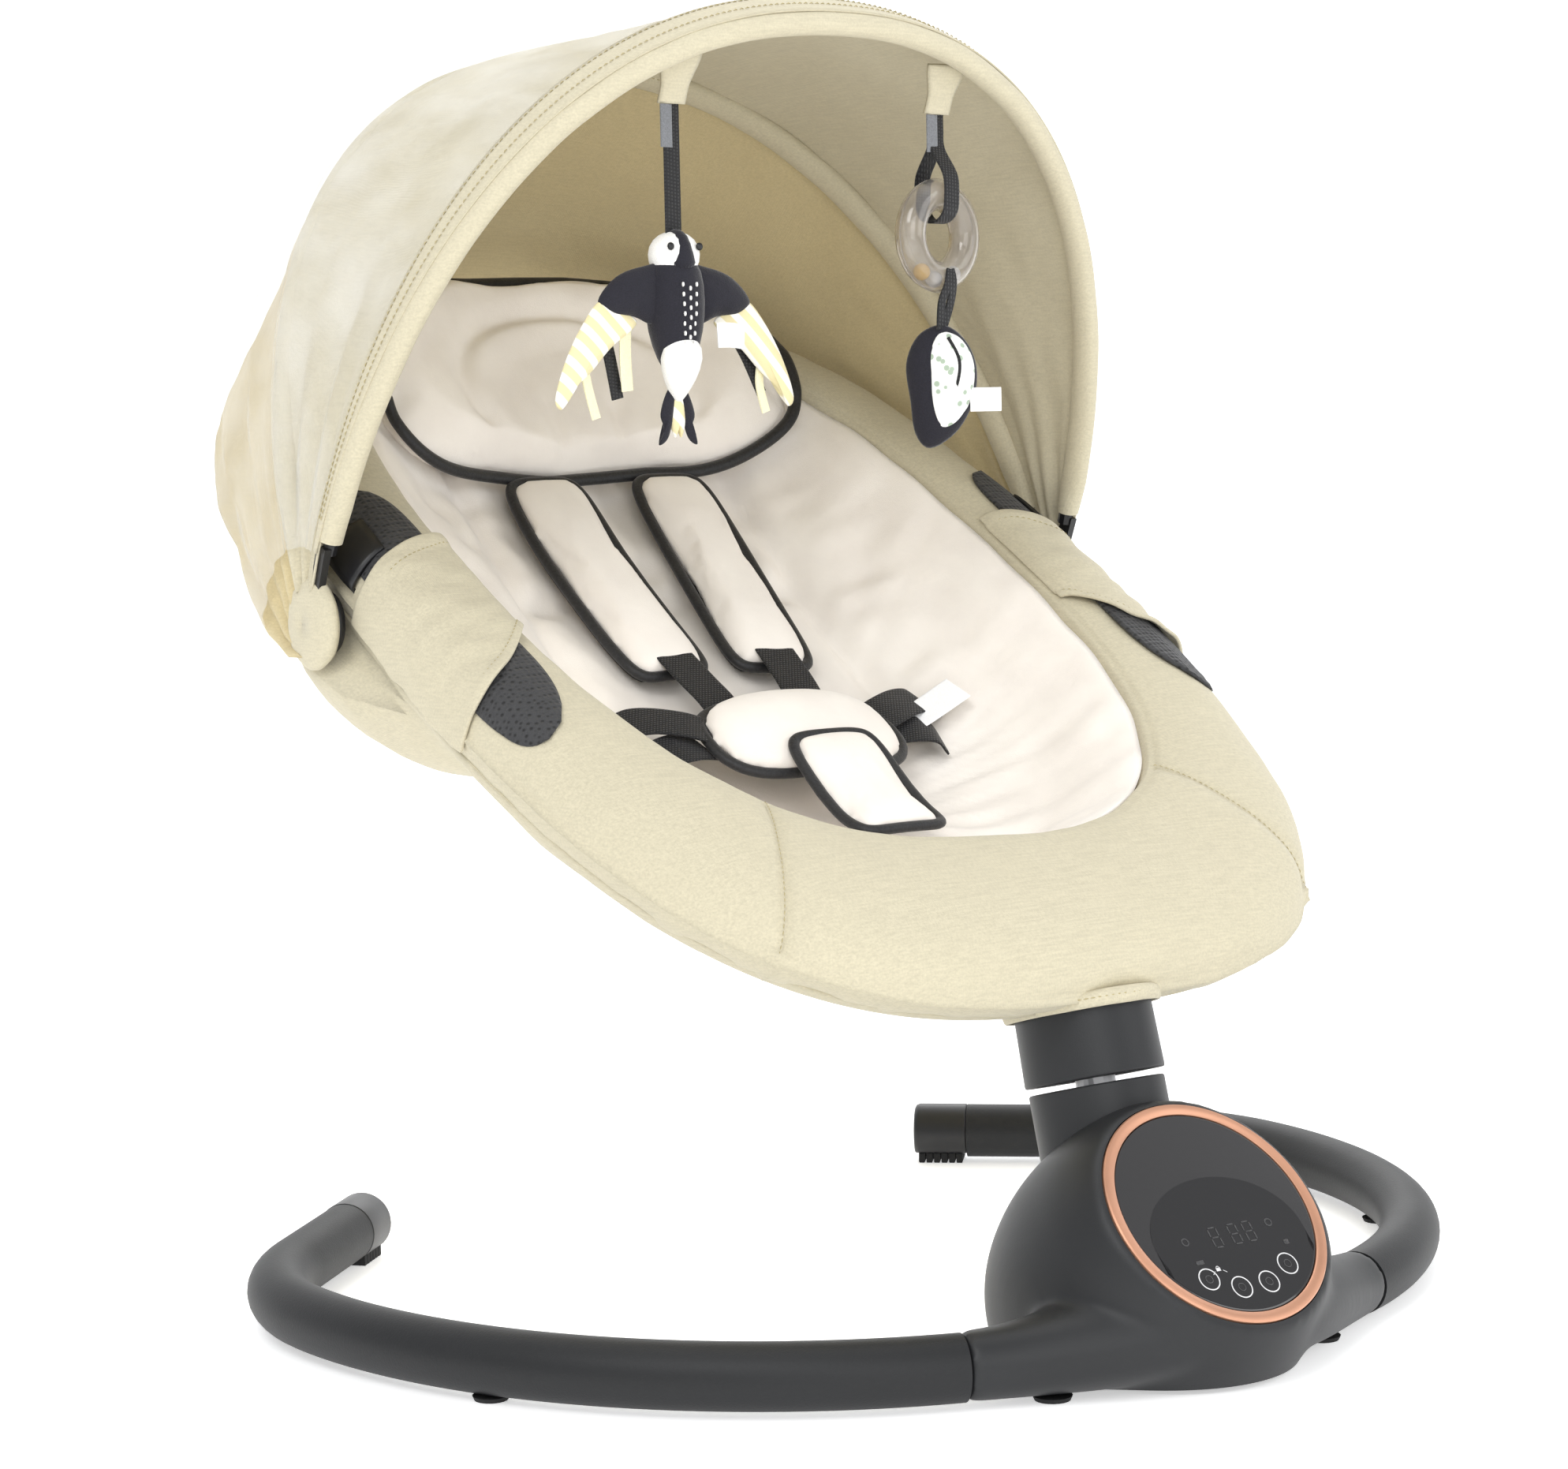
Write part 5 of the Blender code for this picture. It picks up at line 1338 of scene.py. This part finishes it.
def canopy_sheet(name, low, high, lift, mat, sag=0.0, steps=24, stations=150, thick=0.0012, wrinkle=None,
        foot=0.030):
    rows = []
    for i in range(steps + 1):
        p = i / steps
        row = []
        for j in range(stations + 1):
            u = foot + (1 - 2 * foot) * j / stations
            start, stop = (e(u) if callable(e) else e for e in (low, high))
            angle = start + (stop - start) * p
            extra = span_sag(p, sag * math.sin(math.pi * u) ** 0.6)
            if wrinkle:
                extra += wrinkle(u, p)
            row.append(canopy_point(u, angle, lift + extra))
        rows.append(row)
    return thicken(skin(name, rows, mat, around=False), thick, 0.0)


def bow_channel(name, angle, mat, half_w, half_t, lift, foot=0.036, count=150):
    """The sewn tunnel a bow runs in, narrow at its feet so that the folded bows clear each other."""

    def narrow(p):
        return min(half_w, 0.125 * arch(foot + (1 - 2 * foot) * p)[1])

    points, ups = [], []
    for j in range(count + 1):
        u = foot + (1 - 2 * foot) * j / count
        wobble = ripple(u * 4.0, angle, 0, 0.15) * 0.0005
        points.append(canopy_point(u, angle, lift + wobble))
        ups.append(canopy_out(u, angle))
    return sweep(name, points, ups, narrow, half_t, mat, count=16)


def bow_stitches(name, angle, lift, foot=0.045, inside=False):
    points, ups = [], []
    for j in range(301):
        u = foot + (1 - 2 * foot) * j / 300
        points.append(canopy_point(u, angle, lift))
        ups.append(canopy_out(u, angle) * (-1 if inside else 1))
    return stitches(name, points, ups, THREAD, *HEM_STITCH, 0.0004)


def fabric_pull(u, p):
    """Tension folds that fan out from the pivots, and small slack in the span."""
    near = 1 - smoothstep(min(u, 1 - u) / 0.22)
    fans = math.sin(p * 26.0 + 2.0 * math.sin(u * 9)) * 0.0016 * near
    return fans + ripple(u * 2.4, p * 0.5, 1.7, 0.13) * 0.0022 + ripple(u * 2.4, p * 0.6, 4.1, 0.045) * 0.0007


def build_canopy():
    rear, front = REAR_BOW_ANGLE, FRONT_BOW_ANGLE
    main = canopy_sheet("canopy_main", rear, front, 0.0054, LINEN_CANOPY, 0.021, 28, wrinkle=fabric_pull,
            foot=0.012)
    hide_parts("canopy_front")
    blend_over(main)

    # The back panel wears the warmer copy of the linen, whose colour is painted warm light.
    back = canopy_sheet("canopy_back", skirt_angle, rear, 0.0050, LINEN_WARM_LIT, 0.010, 36,
            wrinkle=fabric_pull, foot=0.012)
    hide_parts("canopy_rear")
    blend_over(back)

    hem = bow_channel("canopy_front_hem", front + 0.2, LINEN_CANOPY, 0.0085, 0.0066, 0.0008)
    place(hem, "front_bow", "linen")
    band = canopy_sheet("canopy_front_band", front - 3.6, front + 0.6, 0.0076, LINEN_CANOPY, 0.0, 5,
            thick=0.0010)
    place(band, "front_bow", "linen")
    facing = canopy_sheet("canopy_facing", front - 5.2, front - 0.2, 0.0036, LINEN_CANOPY, 0.0, 5,
            thick=0.0008, foot=0.04)
    place(facing, "front_bow", "linen")
    sewn = [bow_stitches("outer", front - 1.0, 0.0086), bow_stitches("outer_edge", front - 3.2, 0.0083),
            bow_stitches("inner", front - 4.7, 0.0031, inside=True)]
    place(join("canopy_front_stitches", sewn), "front_bow", "linen")

    tunnel = bow_channel("canopy_rear_tunnel", rear, LINEN_CANOPY, 0.0092, 0.0060, 0.0012)
    place(tunnel, "rear_bow", "linen")
    sewn = [bow_stitches("front_side", rear + 1.35, 0.0042), bow_stitches("back_side", rear - 1.35, 0.0042),
            bow_stitches("front_inside", rear + 1.2, -0.0024, inside=True),
            bow_stitches("back_inside", rear - 1.2, -0.0024, inside=True)]
    place(join("canopy_rear_stitches", sewn), "rear_bow", "linen")

    for node in ("front_bow", "rear_bow"):
        for slot in frame["nodes"][node].material_slots:
            slot.material = BLACK_PLASTIC
    build_netting(rear, front)
    build_clips()
    for label, side in (("left", -1), ("right", 1)):
        build_corner(label, side)


def blend_over(obj):
    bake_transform(obj)


def netting_folds(u, p):
    """Loose netting: long folds down to the pivots, deepest at the sides."""
    near = min(u, 1 - u)
    side = (1 - smoothstep(near / 0.30)) * smoothstep((near - 0.01) / 0.06)
    run = math.sin(p * 17.0 + 1.2 * math.sin(u * 7.0)) * (0.0008 + 0.0036 * side)
    return (run + ripple(u * 2.4, p * 0.4, 8.3, 0.10) * 0.0022 + 0.0010) * math.sin(math.pi * p) ** 0.5


def build_netting(rear, front):
    over = canopy_sheet("netting_front", rear + 0.6, front - 3.3, NETTING_LIFT, NETTING, 0.014, 40, 170,
            0.0005, netting_folds)
    blend_over(over)
    behind = canopy_sheet("netting_back", lambda u: max(skirt_angle(u) - 4.0, -4.0), rear + 0.6,
            NETTING_LIFT, NETTING, 0.004, 40, 170, 0.0005, netting_folds)
    blend_over(behind)


def build_corner(label, side):
    """The cloth corner that covers a pivot: a shallow cap whose edge turns in under the hubs."""
    rings = []
    for x, r in ((0.2440, 0.0222), (0.2462, 0.0238), (0.2482, 0.0234), (0.2502, 0.0212), (0.2518, 0.0168),
            (0.2528, 0.0100), (0.2531, 0.0004)):
        ring = []
        for a in turns(72):
            wave = 1 + 0.05 * ripple(math.cos(a) * 0.02, math.sin(a) * 0.02, x, 0.012)
            ring.append(PIVOT + Vector((side * x, r * wave * math.cos(a), r * wave * math.sin(a))))
        rings.append(ring)
    cap = thicken(skin("canopy_corner_" + label, rings, LINEN_CANOPY), 0.0012, 0.0)
    place(cap, "rear_bow", "linen")


def build_clips():
    """The black bracket that grips the cover's edge beside each pivot, and its washer."""
    for label, side in (("left", -1), ("right", 1)):
        out = Vector((side, 0, 0))
        washer = turned("clip_" + label, ((0.2364, 0.0120), (0.2366, 0.0158), (0.2374, 0.0164),
                (0.2402, 0.0164), (0.2410, 0.0158), (0.2411, 0.0100)), PIVOT, out, BLACK_PLASTIC, 48,
                side=Vector((0, 1, 0)))
        low, high = (angle_at(s, side) for s in CLIP_RUN)
        rows = []
        for i in range(13):
            p = -1 + 2 * i / 12
            t = low + (high - low) * i / 12
            rows.append([rim_skin(t, 0.42 + 0.36 * k / 15, 0.0026 + 0.0010 * (1 - p ** 4))
                    for k in range(16)])
        grip = thicken(skin("grip", rows, BLACK_PLASTIC, around=False), 0.0026, 0.0)
        place(join("canopy_bracket_" + label, [washer, grip]), "seat", "charcoal_plastic", "canopy_clip_"
                + label)


# ---------------------------------------------------------------- toys
def hang(name, stations, mat, count=10, half=0.0060, thick=0.0006, facing=None):
    """A ribbon hanging through (x, y, z) offsets from a toy's top."""
    line = curve_through(stations, count * 3)
    up = facing or Vector((0.25, -1, 0)).normalized()
    return sweep(name, line, [up] * len(line), half, thick, mat, power=6.0, count=12)


def blob(name, sections, mat, u, v, count=28, levels=1):
    """A stuffed shape: sections of (centre, half width along u, half depth along v), skinned and softened."""
    obj = skin(name, [ring_of(centre, u, v, wide, deep, count) for centre, wide, deep in sections], mat,
            caps=True)
    return soften(obj, levels) if levels else obj


def flat_toy(name, outline, thick, mat, origin, u, w, v):
    """A small stuffed shape from an outline of (across, up) points in metres, crowned on both sides."""
    line = curve_through([Vector((a, b, 0)) for a, b in outline], len(outline) * 5, closed=True)
    middle = sum(line, Vector((0, 0, 0))) / len(line)
    rings = []
    for shrink, lift in ((0.02, 0.55), (0.35, 0.52), (0.65, 0.42), (0.86, 0.26), (0.97, 0.10), (1.0, 0.0),
            (0.97, -0.10), (0.86, -0.26), (0.65, -0.42), (0.35, -0.52), (0.02, -0.55)):
        rings.append([origin + u * (middle.x + (p.x - middle.x) * shrink)
                + w * (middle.y + (p.y - middle.y) * shrink) + v * (thick * lift) for p in line])
    return skin(name, rings, mat, caps=True)


def build_loops():
    for label, top in (("left", BIRD_TOP), ("right", RATTLE_TOP)):
        tilt = math.radians(FRONT_BOW_ANGLE)
        lift = Vector((0, math.cos(tilt), math.sin(tilt)))
        rows = []
        for k in range(17):
            p = k / 16
            z = 0.0275 * (1 - p)
            half = 0.0125 - 0.0045 * smoothstep(p * 1.4)
            rows.append([top + Vector((x * half, -0.0016 * math.cos(x * 1.5), 0)) + lift * z
                    + Z_AXIS * 0.0006 for x in np.linspace(-1, 1, 9)])
        loop = thicken(skin("loop_cloth_" + label, rows, LINEN_CANOPY, around=False), 0.0024, 0.0)
        place(loop, "front_bow", "linen", "toy_loop_" + label)


def build_bird():
    top = BIRD_TOP
    u = Vector((1, 0, 0))
    w = Z_AXIS
    v = Vector((0, -1, 0))
    strap_pieces = [hang("strap", [top + Vector((0, 0, z)) for z in (0.004, -0.02, -0.045, -0.068)], TAPE)]
    strap_pieces.append(hang("strap_fold", [top + Vector((-0.004, -0.0016, z))
            for z in (0.000, -0.010, -0.022)], GREY_CLOTH, half=0.0042))
    place(join("bird_ribbon", strap_pieces), "bird", "webbing", "bird_strap")

    root = top - Vector((0, 0, BIRD_STRAP))

    def at(x, y, z):
        return root + Vector((x, y, z))

    def stuffed(name, sections, mat):
        return blob(name, [(at(x, y, z), wide, deep) for x, y, z, wide, deep in sections], mat, u, v)

    back = stuffed("bird_body", [(0, 0, -0.010, 0.0090, 0.0085), (0, 0, -0.018, 0.0155, 0.0130),
            (0, 0, -0.034, 0.0165, 0.0150), (0, 0, -0.050, 0.0150, 0.0140), (0, 0, -0.064, 0.0105, 0.0100),
            (0, 0, -0.074, 0.0040, 0.0040)], PLUSH_BLACK)
    place(back, "bird", "plush_dark", "bird_toy")
    heads = [stuffed("head", [(0, 0, 0.002, 0.0040, 0.0040), (0, 0, -0.002, 0.0120, 0.0105),
            (0, 0, -0.010, 0.0150, 0.0130), (0, 0, -0.018, 0.0125, 0.0115), (0, 0, -0.024, 0.0060, 0.0060)],
            PLUSH_WHITE)]
    crown = [stuffed("crown", [(0, -0.0005, 0.0030, 0.0020, 0.0030), (0, -0.002, 0.0000, 0.0050, 0.0090),
            (0, -0.003, -0.010, 0.0075, 0.0112), (0, -0.003, -0.020, 0.0110, 0.0115)], PLUSH_BLACK)]
    for side in (-1, 1):
        eye = at(side * 0.0088, -0.0105, -0.0065)
        crown.append(blob("eye", [(eye + v * 0.0016, 0.0003, 0.0003)]
                + [(eye + v * (0.0016 * math.cos(b)), 0.0021 * math.sin(b), 0.0021 * math.sin(b))
                for b in (0.5, 1.0, 1.5)], BLACK_PLASTIC, u, w, 14, levels=0))
    place(join("bird_head", heads), "bird", "plush_light")
    place(join("bird_crown", crown), "bird", "plush_dark")
    belly = stuffed("bird_belly", [(0, -0.006, -0.050, 0.0040, 0.0030), (0, -0.006, -0.058, 0.0125, 0.0100),
            (0, -0.004, -0.070, 0.0110, 0.0095), (0, -0.002, -0.080, 0.0060, 0.0060),
            (0, 0, -0.087, 0.0015, 0.0015)], PLUSH_WHITE)
    place(belly, "bird", "plush_light")

    specks = []
    for row in range(7):
        for k in range(3):
            x = (k - 1) * 0.0042 * (1 - 0.06 * row)
            z = -0.026 - 0.0050 * row - 0.002 * (k % 2)
            half = 0.0155
            y = -half * math.sqrt(max(1 - (x / 0.016) ** 2, 0.05)) * (0.93 if row < 4 else 0.86) - 0.0006
            centre = at(x, y, z)
            rings = []
            for lift, grow in ((-0.0006, 1.0), (0.0004, 0.9), (0.0008, 0.3)):
                rings.append(ring_of(centre + v * lift, u, w, 0.0006 * grow, 0.0013 * grow, 10))
            specks.append(skin("speck", rings, PLUSH_WHITE, caps=True))
    place(join("bird_specks", specks), "bird", "plush_light")

    for label, side in (("left", -1), ("right", 1)):
        shoulder = [(0.004, -0.016), (0.020, -0.0165), (0.036, -0.022), (0.047, -0.034), (0.040, -0.041),
                (0.026, -0.042), (0.014, -0.046), (0.004, -0.040)]
        upper = flat_toy("bird_wing_" + label, [(side * a, b) for a, b in shoulder], 0.0095, PLUSH_BLACK,
                root, u, w, v)
        feather = [(0.036, -0.037), (0.046, -0.034), (0.058, -0.048), (0.068, -0.066), (0.074, -0.084),
                (0.070, -0.089), (0.064, -0.080), (0.052, -0.070), (0.040, -0.058), (0.024, -0.046),
                (0.030, -0.040)]
        lower = flat_toy("bird_feathers_" + label, [(side * a, b) for a, b in feather], 0.0070, STRIPED,
                root, u, w, v)
        place(upper, "bird", "plush_dark")
        place(lower, "bird", "plush_light")
    tails = []
    for side in (-1, 1):
        outline = [(side * 0.001, -0.078), (side * 0.006, -0.080), (side * 0.0105, -0.092),
                (side * 0.0085, -0.100), (side * 0.0120, -0.108), (side * 0.0065, -0.105),
                (side * 0.0030, -0.094)]
        tails.append(flat_toy("tail", outline, 0.0040, PLUSH_BLACK, root, u, w, v))
    middle = [(-0.0030, -0.082), (0.0030, -0.082), (0.0045, -0.096), (0.0020, -0.1045), (0.0, -0.100),
            (-0.0020, -0.1045), (-0.0045, -0.096)]
    tails.append(flat_toy("tail_mid", middle, 0.0046, STRIPED, root, u, w, v))
    place(join("bird_tail", tails), "bird", "plush_dark")
    ribbons = []
    for mat, stations, half in ((RIBBON, ((-0.030, 0.001, -0.045), (-0.030, 0.002, -0.062),
            (-0.0285, 0.003, -0.080)), 0.0042), (TAPE, ((-0.042, 0.003, -0.050), (-0.038, 0.004, -0.064),
            (-0.034, 0.004, -0.084)), 0.0042), (RIBBON, ((-0.056, 0.002, -0.062), (-0.053, 0.002, -0.078),
            (-0.049, 0.001, -0.094)), 0.0030), (RIBBON, ((0.056, 0.002, -0.060), (0.054, 0.003, -0.076),
            (0.058, 0.003, -0.092)), 0.0030), (TAPE, ((0.036, 0.003, -0.048), (0.046, 0.004, -0.062),
            (0.056, 0.004, -0.082)), 0.0036)):
        ribbons.append(hang("ribbon", [at(*p) for p in stations], mat, 10, half))
    place(join("bird_ribbons", ribbons), "bird", "plush_light")
    tag = hang("bird_tag", [at(0.018, -0.012, -0.052), at(0.026, -0.013, -0.052),
            at(0.034, -0.013, -0.053)], LABEL, 8, 0.0065, 0.0004, facing=Vector((0, -1, 0.1)))
    place(tag, "bird", "plush_light")


def build_rattle():
    top = RATTLE_TOP
    turn = math.radians(11)
    u = Vector((math.cos(turn), math.sin(turn), 0))
    v = Vector((u.y, -u.x, 0))
    w = Z_AXIS
    outer, tube = RATTLE_R, RATTLE_TUBE
    middle = outer - tube
    centre = top - Vector((0, 0, RATTLE_STRAP + 0.0003 + outer))
    strap = [hang("strap", [top + v * d + Vector((0, 0, z)) for d, z in ((0, 0.004), (0, -0.008),
            (0.0010, -0.018), (0.0100, -0.033), (0.0105, -0.048))], TAPE, facing=v),
            hang("strap_back", [top + v * d + Vector((0, 0, z)) for d,
            z in ((-0.0008, -0.010), (-0.0015, -0.018), (-0.0100, -0.033), (-0.0105, -0.048))], TAPE,
            facing=v), hang("strap_turn", [centre + v * (0.0105 * math.cos(a))
            + w * (middle - 0.0005 + 0.0105 * math.sin(a) - 0.004) for a in np.linspace(0, -math.pi, 9)],
            TAPE, facing=w), hang("strap_fold", [top + v * 0.0014 + Vector((-0.004, 0, z))
            for z in (0.0, -0.010, -0.020)], GREY_CLOTH, half=0.0042, facing=v)]
    place(join("rattle_ribbon", strap), "rattle", "webbing", "rattle_strap")

    rings = []
    for a in turns(RING_SIDES):
        out = u * math.cos(a) + w * math.sin(a)
        rings.append([centre + out * (middle + tube * math.cos(b)) + v * (tube * math.sin(b))
                for b in turns(28)])
    ring = thicken(skin("rattle_tube", rings, CLEAR, along=True), 0.0012, -1.0)
    place(ring, "rattle", "clear_plastic", "rattle_ring")
    seam = []
    for a in turns(RING_SIDES):
        out = u * math.cos(a) + w * math.sin(a)
        seam.append([centre + out * (middle + tube + 0.0004 * math.cos(b)) + v * (0.0004 * math.sin(b))
                for b in turns(6)])
    place(skin("rattle_seam", seam, CLEAR, along=True), "rattle", "clear_plastic")
    for name, mat, angle, node in (("yellow", YELLOW_BEAD, -125.0, "bead_yellow"),
            ("pale", PALE_BEAD, -100.0, "bead_white"), ("cream", PALE_BEAD, -62.0, None)):
        a = math.radians(angle)
        at = centre + (u * math.cos(a) + w * math.sin(a)) * (middle + 0.0018)
        profile = [(-0.0046 * math.cos(b), 0.0046 * math.sin(b)) for b in np.linspace(0.12, math.pi - 0.12,
                15)]
        bead = turned("bead_" + name, profile, at, v, mat, 28, side=u, angle=80)
        place(bead, "rattle", "bead_colour", *([node] if node else []))

    low = centre - Vector((0, 0, outer))
    loop = [hang("leaf_loop", [low + u * (side * d) + v * (tube * 1.05 * e) + Vector((0, 0, z)) for d, e,
            z in ((0.0, 1.0, 0.012), (0.002, 1.0, 0.004), (0.0035, 0.6, -0.006), (0.001, 0.2, -0.020))],
            TAPE, 10, 0.0030, facing=v) for side in (-1, 1)]
    place(join("leaf_ribbon", loop), "rattle", "webbing")
    root = low - Vector((0, 0, 0.0186))
    turn = math.radians(LEAF_TURN)
    u = Vector((math.cos(turn), math.sin(turn), 0))
    v = Vector((u.y, -u.x, 0))
    edge = [(0.000, 0.001), (0.010, -0.003), (0.018, -0.014), (0.0205, -0.028), (0.017, -0.044),
            (0.008, -0.058), (-0.006, -0.066), (-0.014, -0.058), (-0.0165, -0.040), (-0.0185, -0.020),
            (-0.012, -0.005)]
    leaf = flat_toy("leaf_back", edge, 0.014, PLUSH_BLACK, root, u, w, v)
    place(leaf, "rattle", "plush_light", "leaf_toy")
    face = [(0.002, -0.002), (0.011, -0.006), (0.0175, -0.016), (0.0190, -0.028), (0.016, -0.042),
            (0.008, -0.054), (-0.002, -0.058), (-0.008, -0.048), (-0.0095, -0.030), (-0.0085, -0.014),
            (-0.004, -0.005)]
    front = flat_toy("leaf_face", face, 0.0150, DOTTED, root + v * 0.0016, u, w, v)
    place(front, "rattle", "plush_light")
    vein = hang("leaf_vein", [root + u * a + w * b + v * (0.0098 - 0.0034 * abs(b + 0.026) / 0.02) for a,
            b in ((0.004, -0.006), (0.0095, -0.018), (0.0085, -0.030), (0.004, -0.041))], TAPE, 10, 0.0009,
            0.0005, facing=v)
    place(vein, "rattle", "webbing")
    tag = hang("leaf_tag", [root + u * x + w * -0.040 + v * 0.004 for x in (0.016, 0.024, 0.033)], LABEL, 8,
            0.0065, 0.0004, facing=v)
    place(tag, "rattle", "plush_light")


build_stage()
for leg_side, leg_label in ((-1, "left"), (1, "right")):
    build_leg(leg_side, leg_label)
build_housing()
build_panel()
build_tower()
paint_cad()
build_rim()
build_shell()
build_side_fabric()
build_liner()
build_harness()
build_pillow()
build_canopy()
build_loops()
build_bird()
build_rattle()
